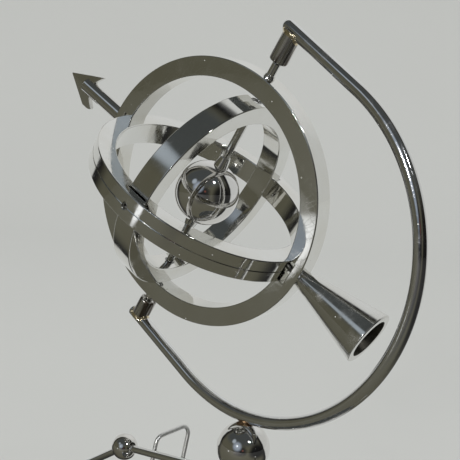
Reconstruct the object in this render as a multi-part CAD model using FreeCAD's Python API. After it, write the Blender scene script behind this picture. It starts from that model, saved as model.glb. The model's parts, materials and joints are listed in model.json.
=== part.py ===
import FreeCAD, Part
import math
import os

# Gyroscope on a swivelling stand: three rings in one cage, round a ball on an axle.
# Millimetres, +Z up, origin in the middle of the underside of the foot.
# The yoke frame has its origin in the middle of the cage: x along the yoke's arms, z along the pivot axis.
# The cage frame is the yoke frame turned about z: x towards the cone, -x towards the arrow.

os.makedirs("parts", exist_ok=True)
Vector = FreeCAD.Vector
upwards = Vector(0, 0, 1)
centre = Vector(0, 0, 0)

# Clearances and shared values
running_clearance = 0.05        # radial, shaft in bore
stop_clearance = 0.3            # between the bar at rest and its stop
end_play = 0.2                  # along a shaft
overrun = 1.0                   # how far a cutting shape passes a face
edge_bevel = 0.4                # bright bevel on the ring edges

# Rings
outer_ring_diameter = 101.0
outer_ring_wall = 7.3
outer_ring_width = 8.6
middle_ring_bite = 2.2          # depth of the middle ring's seat in the outer ring's bore
middle_ring_wall = 7.1
middle_ring_width = 9.3
inner_ring_bite = 2.65          # the same of the inner ring in the middle ring
inner_ring_wall = 7.1
inner_ring_width = 8.8
notch_gap_outer = 1.4           # free space behind the middle ring in the outer ring's notches
notch_gap_middle = 0.9          # the same behind the inner ring
groove_width = 0.45
groove_depth = 0.3

# Arrow and cone
arrow_rod_diameter = 6.35
arrow_length = 32.4             # from the outer ring's wall to the tip
arrow_head_length = 11.7        # from the tip to the shoulder of the lower side
arrow_head_half_width = 8.0
barb_sweep = 5.2                # how far the barbs reach back from the shoulder
barb_shoulder_length = 3.1      # of the lower side, before it turns in to the barb's end
barb_end_inset = 0.7            # of the lower barb's end from the shoulder's width
barb_notch_rise = 1.7           # the notches between barbs and rod, behind the shoulder
barb_notch_half_width = 3.7
arrow_head_thickness = 2.0
arrow_nose_overlap = 4.0        # how far the rod's nose reaches ahead of the shoulder
cone_length = 31.7              # from the outer ring's wall to the mouth
cone_root_radius = 3.4
cone_mouth_radius = 10.3
cone_lip_width = 2.8
cone_root_length = 8.7          # solid length between ring and bore
cone_bore_end_radius = 3.0
cone_lip_bevel = 0.35
stud_diameter = 2.5
stud_depth = 4.0                # length of thread in the middle ring
cone_stud_depth = 6.5           # length of thread in the cone

# Pivots of the cage
pin_diameter = 2.2
pin_seat_depth = 6.6            # in the outer ring's wall
pin_reach_in_bush = 6.8
bush_bore_spare = 0.6           # bore depth beyond the end of the pin
bush_diameter = 5.8
bush_edge_round = 0.9
upper_bush_gap = 6.3            # from the outer ring to the bush
lower_bush_gap = 3.8
upper_bush_length = 12.15       # from its lower face to the centre of the arm
lower_bush_length = 9.95
pin_collar_diameter = 3.3
pin_collar_length = 1.3
bead_diameter = 4.3

# Ball, axle and its bushes
ball_diameter = 24.5
axle_diameter = 2.95
journal_diameter = 2.0
axle_bush_diameter = 4.0
axle_bush_recess = 0.25
journal_recess = 0.4
collar_root_diameter = 5.6
collar_tip_diameter = 3.9
collar_length = 4.2

# Screws between the middle and inner rings
screw_head_diameter = 2.5
screw_head_length = 1.5
screw_head_recess = 0.45
screw_shank_diameter = 1.6
screw_depth = 3.6
socket_width = 1.25
socket_depth = 0.9

# Yoke
yoke_bar_diameter = 4.75
yoke_arm_length = 33.8
yoke_arm_splay = 2.64           # degrees, the arms draw together towards the arc
yoke_end_overhang = 5.4         # the upper arm beyond the pivot axis
yoke_cut_overhang = 4.5         # the lower arm, cut square
yoke_lean = 32.1                # degrees, the pivot axis from upright
cage_rest_turn = 8.87           # degrees, of the cage in the yoke

# Big ball, hub and bar under it
big_ball_diameter = 19.6
ball_height = 60.0
yoke_sink = 0.35                # depth of the yoke's seat in the ball
braze_reach = 3.6
braze_height = 1.3
braze_waist_share = 0.68
braze_top_share = 0.45
bar_diameter = 3.05
bar_drop = 11.5                 # bar centre below the ball centre
bar_droop = 7.6                 # degrees
bar_bend_radius = 40.0
bar_ball_reach = 66.0
bar_ball_diameter = 11.0
bar_outer_slope = 32.0          # degrees, beyond the small balls
bar_outer_bend_radius = 12.0
bar_outer_length = 37.5
bar_end_ball_diameter = 6.0
bar_end_seat = 2.0              # how far the bar runs into its end balls
hub_diameter = 10.5
hub_length = 17.5
hub_rim_drop = 8.2              # the hub's rim below the ball centre
hub_edge_bevel = 0.8
hub_waist_depth = 0.9
hub_waist_length = 5.0

# Spindle, column and foot
spindle_diameter = 4.0
spindle_reach = 8.0             # into the hub
spindle_seat_share = 0.46       # of the column's height
washer_thickness = 0.8
washer_diameter = 9.5
column_top_diameter = 11.0
column_waist_diameter = 8.0
column_foot_diameter = 24.0
column_foot_height = 3.0
column_bead_height = 2.4
column_flare_share = 0.28       # of the height between flange and bead
column_screw_diameter = 5.0
column_screw_grip_share = 0.33  # of the column's height
screw_head_width = 10.0
screw_head_height = 3.0
screw_seat_depth = 4.2
base_diameter = 120.0
base_height = 11.0
base_crown = 1.5                # rise of the top towards the middle
base_edge_radius = 3.5
pad_inset = 4.0                 # of the pad's edge from the foot's
pad_thickness = 1.5

# Wire stop behind the left arm
wire_diameter = 1.8
wire_bend_radius = 3.6
stop_ball_gap = 15.5            # along the bar, from the centre of the small ball in to the stop
stop_width = 18.8
stop_top_rise = 1.8             # the far corner is higher than the near one
stop_near_top_drop = 12.3       # near corner below the ball centre
stop_lean = 12.0                # degrees, of the legs
wire_seat_depth = 5.0

# Worked out from the sizes above
outer_ring_radius = outer_ring_diameter / 2
outer_ring_bore = outer_ring_radius - outer_ring_wall
middle_ring_radius = outer_ring_bore + middle_ring_bite
middle_ring_bore = middle_ring_radius - middle_ring_wall
inner_ring_radius = middle_ring_bore + inner_ring_bite
inner_ring_bore = inner_ring_radius - inner_ring_wall
arrow_tip_reach = outer_ring_radius + arrow_length
cone_reach = outer_ring_radius + cone_length
cone_bore_radius = cone_mouth_radius - cone_lip_width
cone_bore_depth = cone_length - cone_root_length
yoke_bar_radius = yoke_bar_diameter / 2
bar_radius = bar_diameter / 2
wire_radius = wire_diameter / 2
big_ball_radius = big_ball_diameter / 2
lean = math.radians(yoke_lean)
splay = math.radians(yoke_arm_splay)

# The yoke's arms lie as far above and below the cage's middle as the two bushes reach; its own middle line
# is halfway between them.
upper_bush_end = outer_ring_radius + upper_bush_gap
lower_bush_end = outer_ring_radius + lower_bush_gap
upper_arm_z = upper_bush_end + upper_bush_length
lower_arm_z = -(lower_bush_end + lower_bush_length)
yoke_half_height = (upper_arm_z - lower_arm_z) / 2
yoke_axis_offset = (upper_arm_z + lower_arm_z) / 2
arm_end_x = yoke_arm_length * math.cos(splay)
arm_end_z = yoke_half_height - yoke_arm_length * math.sin(splay)
arc_radius = arm_end_z / math.cos(splay)
arc_centre_x = arm_end_x - arc_radius * math.sin(splay)

# The ball sits under the lowest point of the leaning arc, and the swivel axis passes through its centre.
ball_to_arc = big_ball_radius + yoke_bar_radius - yoke_sink
cage_x = -(arc_centre_x * math.cos(lean) + yoke_axis_offset * math.sin(lean))
cage_above_ball = (ball_to_arc + arc_centre_x * math.sin(lean) + arc_radius
                   - yoke_axis_offset * math.cos(lean))
ball_centre = Vector(0, 0, ball_height)
cage_centre = Vector(cage_x, 0, ball_height + cage_above_ball)
hub_rim_z = ball_height - hub_rim_drop
hub_foot_z = hub_rim_z - hub_length
column_top_z = hub_foot_z - washer_thickness
droop = math.radians(bar_droop)
slope = math.radians(bar_outer_slope)
bar_z = ball_height - bar_drop
bar_ball_z = bar_z - bar_ball_reach * math.tan(droop)
bar_end_x = bar_ball_reach + bar_outer_length * math.cos(slope)
bar_end_z = bar_ball_z - bar_outer_length * math.sin(slope)
stop_distance = bar_ball_reach - stop_ball_gap


def base_top(radius):
    """Height of the foot's gently domed top at a radius."""
    flat_z = pad_thickness + base_height
    crown_edge = base_diameter / 2 - base_edge_radius
    return flat_z + base_crown * (1 - (radius / crown_edge) ** 2)


column_foot_z = base_top(column_foot_diameter / 2)
column_height = column_top_z - column_foot_z
spindle_seat = column_height * spindle_seat_share
column_screw_grip = column_height * column_screw_grip_share


def revolve(points, axis=upwards):
    """Solid of revolution about a line through the origin, from an outline of (radius, height) points."""
    outline = [Vector(radius, 0, height) for radius, height in points]
    face = Part.Face(Part.makePolygon(outline + outline[:1]))
    solid = face.revolve(centre, upwards, 360)
    solid.Placement = FreeCAD.Placement(centre, FreeCAD.Rotation(upwards, axis))
    return solid


def rod(radius, start, end):
    """Round rod between two points."""
    along = end - start
    return Part.makeCylinder(radius, along.Length, start, along)


def ball(radius, place):
    """Ball about a point."""
    solid = Part.makeSphere(radius)
    solid.translate(place)
    return solid


def block(x_range, y_range, z_range):
    """Box between limits."""
    (x0, x1), (y0, y1), (z0, z1) = x_range, y_range, z_range
    return Part.makeBox(x1 - x0, y1 - y0, z1 - z0, Vector(x0, y0, z0))


def around(half):
    """Limits on both sides of zero."""
    return (-half, half)


def in_cage(shape):
    """From the cage frame to the part's frame."""
    shape.rotate(centre, upwards, cage_rest_turn)
    return in_yoke(shape)


def in_yoke(shape):
    """From the yoke frame to the part's frame."""
    shape.rotate(centre, Vector(0, 1, 0), yoke_lean)
    shape.translate(cage_centre)
    return shape


def ring(outer, inner, width, axis):
    """Flat ring with bevelled edges."""
    side = width / 2
    profile = [
        (inner, -side + edge_bevel), (inner + edge_bevel, -side),
        (outer - edge_bevel, -side), (outer, -side + edge_bevel),
        (outer, side - edge_bevel), (outer - edge_bevel, side),
        (inner + edge_bevel, side), (inner, side - edge_bevel),
    ]
    return revolve(profile, axis)


def wall_groove(outer, axis):
    """Cutting shape of the fine groove round the middle of a ring's outer wall."""
    side = groove_width / 2
    floor = outer - groove_depth
    return revolve([(floor, -side), (outer + overrun, -side), (outer + overrun, side), (floor, side)], axis)


def ring_envelope():
    """Everything inside the outer ring's outer wall, to seat pieces on that wall."""
    through = Vector(0, outer_ring_width / 2 + overrun, 0)
    return rod(outer_ring_radius, -through, through)


def outer_ring():
    """Ring square to y, with notches at x for the middle ring, stud holes and pivot pin seats."""
    body = ring(outer_ring_radius, outer_ring_bore, outer_ring_width, Vector(0, 1, 0))
    notch_reach = middle_ring_radius + notch_gap_outer
    through = outer_ring_width / 2 + overrun
    body = body.cut(block(around(notch_reach), around(through), around(middle_ring_width / 2)))
    edge = Vector(outer_ring_radius + overrun, 0, 0)
    body = body.cut(rod(stud_diameter / 2, -edge, edge))
    for side in (1, -1):
        pin_end = Vector(0, 0, side * (outer_ring_radius - pin_seat_depth))
        pin_mouth = Vector(0, 0, side * (outer_ring_radius + overrun))
        body = body.cut(rod(pin_diameter / 2, pin_end, pin_mouth))
    return in_cage(body)


def middle_ring():
    """Grooved ring square to the pivot axis, with notches at y for the inner ring, stud and screw holes."""
    body = ring(middle_ring_radius, middle_ring_bore, middle_ring_width, upwards)
    body = body.cut(wall_groove(middle_ring_radius, upwards))
    notch_reach = inner_ring_radius + notch_gap_middle
    through = middle_ring_width / 2 + overrun
    body = body.cut(block(around(inner_ring_width / 2), around(notch_reach), around(through)))
    for side in (1, -1):
        stud_end = Vector(side * (middle_ring_radius - stud_depth), 0, 0)
        stud_mouth = Vector(side * (middle_ring_radius + overrun), 0, 0)
        body = body.cut(rod(stud_diameter / 2, stud_end, stud_mouth))
        head_end = middle_ring_radius - screw_head_recess - screw_head_length
        head_mouth = Vector(0, side * (middle_ring_radius + overrun), 0)
        body = body.cut(rod(screw_head_diameter / 2, Vector(0, side * head_end, 0), head_mouth))
        shank_end = Vector(0, side * middle_ring_bore, 0)
        body = body.cut(rod(screw_shank_diameter / 2, shank_end, head_mouth))
    return in_cage(body)


def inner_ring():
    """Ring square to x, with seats for the axle bushes at z and screw holes at y."""
    body = ring(inner_ring_radius, inner_ring_bore, inner_ring_width, Vector(1, 0, 0))
    edge = Vector(0, 0, inner_ring_radius + overrun)
    body = body.cut(rod(axle_bush_diameter / 2, -edge, edge))
    for side in (1, -1):
        hole_end = Vector(0, side * (inner_ring_radius - screw_depth), 0)
        hole_mouth = Vector(0, side * (inner_ring_radius + overrun), 0)
        body = body.cut(rod(screw_shank_diameter / 2, hole_end, hole_mouth))
    return in_cage(body)


def ring_screws():
    """Two sunk screws with hexagonal sockets, radial, through the middle ring into the inner ring."""
    screws = []
    for side in (1, -1):
        face = middle_ring_radius - screw_head_recess
        head_end = face - screw_head_length
        head = rod(screw_head_diameter / 2, Vector(0, side * head_end, 0), Vector(0, side * face, 0))
        shank_end = Vector(0, side * (inner_ring_radius - screw_depth), 0)
        shank = rod(screw_shank_diameter / 2, shank_end, Vector(0, side * head_end, 0))
        corner = socket_width / math.sqrt(3)
        corners = []
        for step in range(6):
            angle = math.radians(60 * step)
            across = corner * math.cos(angle)
            up = corner * math.sin(angle)
            corners.append(Vector(across, side * (face - socket_depth), up))
        socket = Part.Face(Part.makePolygon(corners + corners[:1]))
        socket = socket.extrude(Vector(0, side * (socket_depth + overrun), 0))
        screws.append(head.fuse(shank).cut(socket))
    return in_cage(Part.makeCompound(screws))


def arrow_head_plate():
    """Flat head in the plane of the outer ring: a straight upper barb and a lower one with a shoulder."""
    shoulder_x = -(arrow_tip_reach - arrow_head_length)
    barb_x = shoulder_x + barb_sweep
    notch_x = shoulder_x + barb_notch_rise
    outline = [
        Vector(-arrow_tip_reach, 0, 0),
        Vector(barb_x, 0, arrow_head_half_width),
        Vector(notch_x, 0, barb_notch_half_width),
        Vector(notch_x, 0, -barb_notch_half_width),
        Vector(barb_x, 0, -arrow_head_half_width + barb_end_inset),
        Vector(shoulder_x + barb_shoulder_length, 0, -arrow_head_half_width),
        Vector(shoulder_x, 0, -arrow_head_half_width),
    ]
    face = Part.Face(Part.makePolygon(outline + outline[:1]))
    plate = face.extrude(Vector(0, arrow_head_thickness, 0))
    plate.translate(Vector(0, -arrow_head_thickness / 2, 0))
    return plate


def arrow_head():
    """The plate, in place."""
    return in_cage(arrow_head_plate())


def arrow_shaft():
    """Rod with a domed nose slotted over the head, and a threaded end into the middle ring."""
    radius = arrow_rod_diameter / 2
    nose_x = -(arrow_tip_reach - arrow_head_length + arrow_nose_overlap - radius)
    seat_x = -outer_ring_bore
    body = rod(radius, Vector(seat_x, 0, 0), Vector(nose_x, 0, 0))
    body = body.fuse(ball(radius, Vector(nose_x, 0, 0)))
    body = body.cut(ring_envelope())
    stud_end = Vector(-(middle_ring_radius - stud_depth), 0, 0)
    body = body.fuse(rod(stud_diameter / 2, stud_end, Vector(-outer_ring_radius - overrun, 0, 0)))
    return in_cage(body.cut(arrow_head_plate()))


def tail_cone():
    """Flared cone on the outer ring, with a tapering bore in its mouth."""
    root_x = outer_ring_bore
    slope = (cone_mouth_radius - cone_root_radius) / (cone_reach - outer_ring_radius)
    root_radius = cone_root_radius - slope * (outer_ring_radius - root_x)
    profile = [
        (0, root_x), (root_radius, root_x),
        (cone_mouth_radius - slope * cone_lip_bevel, cone_reach - cone_lip_bevel),
        (cone_mouth_radius - cone_lip_bevel, cone_reach),
        (cone_bore_radius + cone_lip_bevel, cone_reach),
        (cone_bore_radius, cone_reach - cone_lip_bevel),
        (cone_bore_end_radius, cone_reach - cone_bore_depth), (0, cone_reach - cone_bore_depth - overrun),
    ]
    body = revolve(profile, Vector(1, 0, 0))
    stud_end = Vector(outer_ring_radius + cone_stud_depth, 0, 0)
    return in_cage(body.cut(ring_envelope()).cut(rod(stud_diameter / 2, centre, stud_end)))


def cone_stud():
    """Threaded stud from the middle ring, through the outer ring, into the cone."""
    start = Vector(middle_ring_radius - stud_depth, 0, 0)
    end = Vector(outer_ring_radius + cone_stud_depth, 0, 0)
    return in_cage(rod(stud_diameter / 2, start, end))


def pivot_pin(side, gap):
    """Pin from the outer ring's wall into a bush of the yoke."""
    start = Vector(0, 0, side * (outer_ring_radius - pin_seat_depth))
    end = Vector(0, 0, side * (outer_ring_radius + gap + pin_reach_in_bush))
    return in_cage(rod(pin_diameter / 2, start, end))


def upper_pin_collar():
    """Short collar round the upper pin, seated on the outer ring."""
    start = outer_ring_radius
    profile = [
        (pin_diameter / 2, start), (pin_collar_diameter / 2, start),
        (pin_collar_diameter / 2, start + pin_collar_length / 2),
        (pin_diameter / 2 + edge_bevel / 2, start + pin_collar_length),
        (pin_diameter / 2, start + pin_collar_length),
    ]
    return in_cage(revolve(profile))


def lower_pin_collar():
    """Round bead on the lower pin, which carries the cage on the lower bush."""
    middle = -(outer_ring_radius + lower_bush_gap / 2)
    bead = ball(bead_diameter / 2, Vector(0, 0, middle))
    top = -outer_ring_radius
    bottom = -(outer_ring_radius + lower_bush_gap - end_play / 2)
    slab = block(around(bead_diameter), around(bead_diameter), (bottom, top))
    hole = rod(pin_diameter / 2, Vector(0, 0, bottom - overrun), Vector(0, 0, top + overrun))
    return in_cage(bead.common(slab).cut(hole))


def axle_bushes():
    """Two bushes pressed into the inner ring."""
    bushes = []
    for side in (1, -1):
        start = Vector(0, 0, side * inner_ring_bore)
        end = Vector(0, 0, side * (inner_ring_radius - axle_bush_recess))
        past = Vector(0, 0, side * overrun)
        bush = rod(axle_bush_diameter / 2, start, end)
        bushes.append(bush.cut(rod(journal_diameter / 2 + running_clearance, start - past, end + past)))
    return in_cage(Part.makeCompound(bushes))


def axle_solid():
    """Axle with a thinner journal at each end."""
    shoulder = inner_ring_bore - end_play
    journal_end = inner_ring_radius - journal_recess
    profile = [
        (0, -journal_end), (journal_diameter / 2, -journal_end), (journal_diameter / 2, -shoulder),
        (axle_diameter / 2, -shoulder), (axle_diameter / 2, shoulder),
        (journal_diameter / 2, shoulder), (journal_diameter / 2, journal_end), (0, journal_end),
    ]
    return revolve(profile)


def ball_axle():
    """The axle, in place."""
    return in_cage(axle_solid())


def central_ball():
    """Ball bored for the axle."""
    return in_cage(ball(ball_diameter / 2, centre).cut(axle_solid()))


def axle_collars():
    """Tapered collars that hold the ball on its axle, one on each side."""
    start = ball_diameter / 2 - collar_length / 4
    end = ball_diameter / 2 + collar_length
    collars = []
    for side in (1, -1):
        profile = [
            (axle_diameter / 2, side * start), (collar_root_diameter / 2, side * start),
            (collar_tip_diameter / 2, side * end), (axle_diameter / 2, side * end),
        ]
        collars.append(revolve(profile).cut(ball(ball_diameter / 2, centre)))
    return in_cage(Part.makeCompound(collars))


def yoke_wire():
    """Centre line of the yoke: arm, arc, arm. Both arms are tangent to the arc."""
    middle = Vector(arc_centre_x, 0, yoke_axis_offset)
    top = Vector(arm_end_x, 0, yoke_axis_offset + arm_end_z)
    bottom = Vector(arm_end_x, 0, yoke_axis_offset - arm_end_z)
    upper_reach = yoke_end_overhang - yoke_bar_radius
    upper = Vector(-upper_reach * math.cos(splay), 0, upper_arm_z + upper_reach * math.sin(splay))
    lower = Vector(-yoke_cut_overhang * math.cos(splay), 0, lower_arm_z - yoke_cut_overhang * math.sin(splay))
    edges = [
        Part.LineSegment(upper, top).toShape(),
        Part.Arc(top, middle + Vector(arc_radius, 0, 0), bottom).toShape(),
        Part.LineSegment(bottom, lower).toShape(),
    ]
    return Part.Wire(edges), upper, lower


def pipe(wire, radius, start, along):
    """Round bar along a wire."""
    section = Part.Wire(Part.makeCircle(radius, start, along))
    return wire.makePipeShell([section], True, False)


def yoke_solid():
    """Bent bar with a domed upper end and a square cut lower end."""
    wire, upper, lower = yoke_wire()
    direction = Vector(math.cos(splay), 0, -math.sin(splay))
    bar = pipe(wire, yoke_bar_radius, upper, direction)
    bar = bar.fuse(ball(yoke_bar_radius, upper))
    return bar


def yoke_rod():
    """The bent bar, in place."""
    return in_yoke(yoke_solid())


def bush(side, end, arm_z):
    """Bush brazed under an arm of the yoke, with a blind bore for the pivot pin."""
    radius = bush_diameter / 2
    step = bush_edge_round * (1 - math.sqrt(0.5))
    profile = [
        (0, end), (radius - bush_edge_round, end), (radius - step, end + step),
        (radius, end + bush_edge_round), (radius, side * arm_z), (0, side * arm_z),
    ]
    body = revolve(profile)
    bore_end = end + pin_reach_in_bush + bush_bore_spare
    bore_radius = pin_diameter / 2 + running_clearance
    body = body.cut(rod(bore_radius, Vector(0, 0, end - overrun), Vector(0, 0, bore_end)))
    if side < 0:
        body.rotate(centre, Vector(1, 0, 0), 180)
    return in_yoke(body.cut(yoke_solid()))


def yoke_braze(yoke):
    """Fillet of braze round the seat of the yoke on the big ball."""
    seat_z = ball_height + big_ball_radius - yoke_sink
    rim_z = ball_height + math.sqrt(big_ball_radius ** 2 - braze_reach ** 2)
    profile = [
        (0, rim_z), (braze_reach, rim_z), (braze_reach * braze_waist_share, seat_z + yoke_sink),
        (braze_reach * braze_top_share, seat_z + braze_height), (0, seat_z + braze_height),
    ]
    return revolve(profile).cut(ball(big_ball_radius, ball_centre)).cut(yoke)


def bar_corner(side, x, z, turn_in, turn_out, bend_radius):
    """Start, middle and end of a bend in the bar where two slopes meet at (x, z)."""
    half_turn = (turn_out - turn_in) / 2
    reach = bend_radius * math.tan(half_turn)
    rise = bend_radius * (1 / math.cos(half_turn) - 1)
    middle_slope = (turn_in + turn_out) / 2
    start = Vector(side * (x - reach * math.cos(turn_in)), 0, z + reach * math.sin(turn_in))
    end = Vector(side * (x + reach * math.cos(turn_out)), 0, z - reach * math.sin(turn_out))
    middle = Vector(side * (x - rise * math.sin(middle_slope)), 0, z - rise * math.cos(middle_slope))
    return start, middle, end


def bow_bar():
    """Bar that droops to both sides, bent in the middle and again in the small balls."""
    reach = bar_bend_radius * math.sin(droop)
    shoulder_z = bar_z - reach * math.tan(droop)
    left_bend = bar_corner(-1, bar_ball_reach, bar_ball_z, droop, slope, bar_outer_bend_radius)
    right_bend = bar_corner(1, bar_ball_reach, bar_ball_z, droop, slope, bar_outer_bend_radius)
    left_end = Vector(-bar_end_x, 0, bar_end_z)
    right_end = Vector(bar_end_x, 0, bar_end_z)
    left_shoulder = Vector(-reach, 0, shoulder_z)
    right_shoulder = Vector(reach, 0, shoulder_z)
    top = Vector(0, 0, shoulder_z + bar_bend_radius * (1 - math.cos(droop)))
    edges = [
        Part.LineSegment(left_end, left_bend[2]).toShape(),
        Part.Arc(left_bend[2], left_bend[1], left_bend[0]).toShape(),
        Part.LineSegment(left_bend[0], left_shoulder).toShape(),
        Part.Arc(left_shoulder, top, right_shoulder).toShape(),
        Part.LineSegment(right_shoulder, right_bend[0]).toShape(),
        Part.Arc(right_bend[0], right_bend[1], right_bend[2]).toShape(),
        Part.LineSegment(right_bend[2], right_end).toShape(),
    ]
    return pipe(Part.Wire(edges), bar_radius, left_end, left_bend[2] - left_end)


def bow_ball(side, bar):
    """Small ball on the bar."""
    return ball(bar_ball_diameter / 2, Vector(side * bar_ball_reach, 0, bar_ball_z)).cut(bar)


def bow_end(side, bar):
    """End ball of the bar."""
    beyond = bar_end_ball_diameter / 2 - bar_end_seat
    place = Vector(side * (bar_end_x + beyond * math.cos(slope)), 0, bar_end_z - beyond * math.sin(slope))
    return ball(bar_end_ball_diameter / 2, place).cut(bar)


def pedestal_ball(yoke):
    """Big ball with the seat of the yoke in its top."""
    return ball(big_ball_radius, ball_centre).cut(yoke)


def hub_collar(bar):
    """Hub under the big ball: a cup for the ball, a cross hole for the bar and a bore for the spindle."""
    radius = hub_diameter / 2
    waist_top = hub_foot_z + hub_length / 2
    waist_bottom = waist_top - hub_waist_length
    profile = [
        (0, hub_foot_z), (radius - hub_edge_bevel, hub_foot_z), (radius, hub_foot_z + hub_edge_bevel),
        (radius, waist_bottom), (radius - hub_waist_depth, waist_bottom + hub_waist_depth),
        (radius - hub_waist_depth, waist_top - hub_waist_depth), (radius, waist_top),
        (radius, hub_rim_z), (0, hub_rim_z),
    ]
    body = revolve(profile).cut(ball(big_ball_radius, ball_centre)).cut(bar)
    bore_end = Vector(0, 0, hub_foot_z + spindle_reach + end_play)
    bore_start = Vector(0, 0, hub_foot_z - overrun)
    return body.cut(rod(spindle_diameter / 2 + running_clearance, bore_start, bore_end))


def spindle():
    """Pin fixed in the column, on which the head swivels."""
    start = Vector(0, 0, column_top_z - spindle_seat)
    return rod(spindle_diameter / 2, start, Vector(0, 0, hub_foot_z + spindle_reach))


def thrust_washer():
    """Washer that carries the head on the column."""
    outside = rod(washer_diameter / 2, Vector(0, 0, column_top_z), Vector(0, 0, hub_foot_z))
    past = Vector(0, 0, overrun)
    hole_start = Vector(0, 0, column_top_z) - past
    hole_end = Vector(0, 0, hub_foot_z) + past
    return outside.cut(rod(spindle_diameter / 2 + running_clearance, hole_start, hole_end))


def base_disc(holes):
    """Heavy round foot: domed top, rounded edge, screw hole and counterbore below, holes for the wire."""
    edge = base_diameter / 2
    flat_z = pad_thickness + base_height
    crown_edge = edge - base_edge_radius
    seat_radius = column_foot_diameter / 2
    seat_z = column_foot_z
    corner = base_edge_radius * (1 - math.sqrt(0.5))
    side_foot = Vector(edge, 0, pad_thickness + edge_bevel)
    outline = [
        Part.LineSegment(Vector(0, 0, pad_thickness), Vector(edge - edge_bevel, 0, pad_thickness)),
        Part.LineSegment(Vector(edge - edge_bevel, 0, pad_thickness), side_foot),
        Part.LineSegment(side_foot, Vector(edge, 0, flat_z - base_edge_radius)),
        Part.Arc(Vector(edge, 0, flat_z - base_edge_radius), Vector(edge - corner, 0, flat_z - corner),
                 Vector(crown_edge, 0, flat_z)),
        Part.Arc(Vector(crown_edge, 0, flat_z), Vector((crown_edge + seat_radius) / 2, 0,
                 base_top((crown_edge + seat_radius) / 2)), Vector(seat_radius, 0, seat_z)),
        Part.LineSegment(Vector(seat_radius, 0, seat_z), Vector(0, 0, seat_z)),
        Part.LineSegment(Vector(0, 0, seat_z), Vector(0, 0, pad_thickness)),
    ]
    face = Part.Face(Part.Wire([segment.toShape() for segment in outline]))
    body = face.revolve(centre, upwards, 360)
    underside = Vector(0, 0, pad_thickness)
    past = Vector(0, 0, overrun)
    head_seat = underside + Vector(0, 0, screw_seat_depth)
    body = body.cut(rod(screw_head_width / 2, underside - past, head_seat))
    body = body.cut(rod(column_screw_diameter / 2, underside, Vector(0, 0, seat_z + overrun)))
    return body.cut(holes)


def base_pad():
    """Soft pad under the foot."""
    return rod(base_diameter / 2 - pad_inset, centre, Vector(0, 0, pad_thickness))


def column():
    """Turned post: foot flange, waist and a collar at the top, with the spindle's seat and a screw hole."""
    foot_z = column_foot_z
    foot_radius = column_foot_diameter / 2
    waist_radius = column_waist_diameter / 2
    top_radius = column_top_diameter / 2
    flange_z = foot_z + column_foot_height
    flare_height = (column_height - column_foot_height - column_bead_height) * column_flare_share
    flange_edge = Vector(foot_radius, 0, foot_z + column_foot_height / 2)
    flange_top = Vector(foot_radius - column_foot_height / 2, 0, flange_z)
    waist_foot = Vector(waist_radius, 0, flange_z + flare_height)
    waist_top = Vector(waist_radius, 0, column_top_z - column_bead_height)
    outline = [
        Part.LineSegment(Vector(0, 0, foot_z), Vector(foot_radius, 0, foot_z)),
        Part.LineSegment(Vector(foot_radius, 0, foot_z), flange_edge),
        Part.LineSegment(flange_edge, flange_top),
        Part.Arc(flange_top,
                 Vector(waist_radius + (foot_radius - waist_radius) / 4, 0, flange_z + flare_height / 4),
                 waist_foot),
        Part.LineSegment(waist_foot, waist_top),
        Part.Arc(waist_top,
                 Vector(top_radius, 0, column_top_z - column_bead_height / 2),
                 Vector(top_radius - edge_bevel, 0, column_top_z)),
        Part.LineSegment(Vector(top_radius - edge_bevel, 0, column_top_z), Vector(0, 0, column_top_z)),
        Part.LineSegment(Vector(0, 0, column_top_z), Vector(0, 0, foot_z)),
    ]
    face = Part.Face(Part.Wire([segment.toShape() for segment in outline]))
    body = face.revolve(centre, upwards, 360)
    spindle_end = Vector(0, 0, column_top_z - spindle_seat)
    body = body.cut(rod(spindle_diameter / 2, spindle_end, Vector(0, 0, column_top_z + overrun)))
    thread_end = Vector(0, 0, foot_z + column_screw_grip)
    return body.cut(rod(column_screw_diameter / 2, Vector(0, 0, foot_z - overrun), thread_end))


def column_screw():
    """Screw from below, through the foot into the column."""
    seat_z = pad_thickness + screw_seat_depth
    head = rod(screw_head_width / 2, Vector(0, 0, seat_z - screw_head_height), Vector(0, 0, seat_z))
    end_z = column_foot_z + column_screw_grip
    return head.fuse(rod(column_screw_diameter / 2, Vector(0, 0, seat_z), Vector(0, 0, end_z)))


def wire_stop():
    """Inverted U of wire behind the left arm, with leaning legs whose feet go into the base."""
    tilt = math.tan(math.radians(stop_lean))
    top_z = ball_height - stop_near_top_drop
    crossing_z = bar_z - stop_distance * math.tan(droop)
    near_y = bar_radius + wire_radius + stop_clearance + tilt * (top_z - crossing_z)
    far_y = near_y + stop_width
    far_z = top_z + stop_top_rise
    foot_z = base_top(stop_distance) - wire_seat_depth
    points = [
        Vector(-stop_distance, near_y - tilt * (top_z - foot_z), foot_z),
        Vector(-stop_distance, near_y, top_z),
        Vector(-stop_distance, far_y, far_z),
        Vector(-stop_distance, far_y - tilt * (far_z - foot_z), foot_z),
    ]
    edges = []
    start = points[0]
    for before, corner, after in zip(points, points[1:], points[2:]):
        back = (before - corner).normalize()
        ahead = (after - corner).normalize()
        half = back.getAngle(ahead) / 2
        reach = wire_bend_radius / math.tan(half)
        bisector = (back + ahead).normalize()
        arc_start = corner + back * reach
        arc_end = corner + ahead * reach
        arc_middle = corner + bisector * (wire_bend_radius / math.sin(half) - wire_bend_radius)
        edges.append(Part.LineSegment(start, arc_start).toShape())
        edges.append(Part.Arc(arc_start, arc_middle, arc_end).toShape())
        start = arc_end
    edges.append(Part.LineSegment(start, points[3]).toShape())
    return pipe(Part.Wire(edges), wire_radius, points[0], points[1] - points[0])


yoke = yoke_rod()
bar = bow_bar()
stop = wire_stop()

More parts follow.
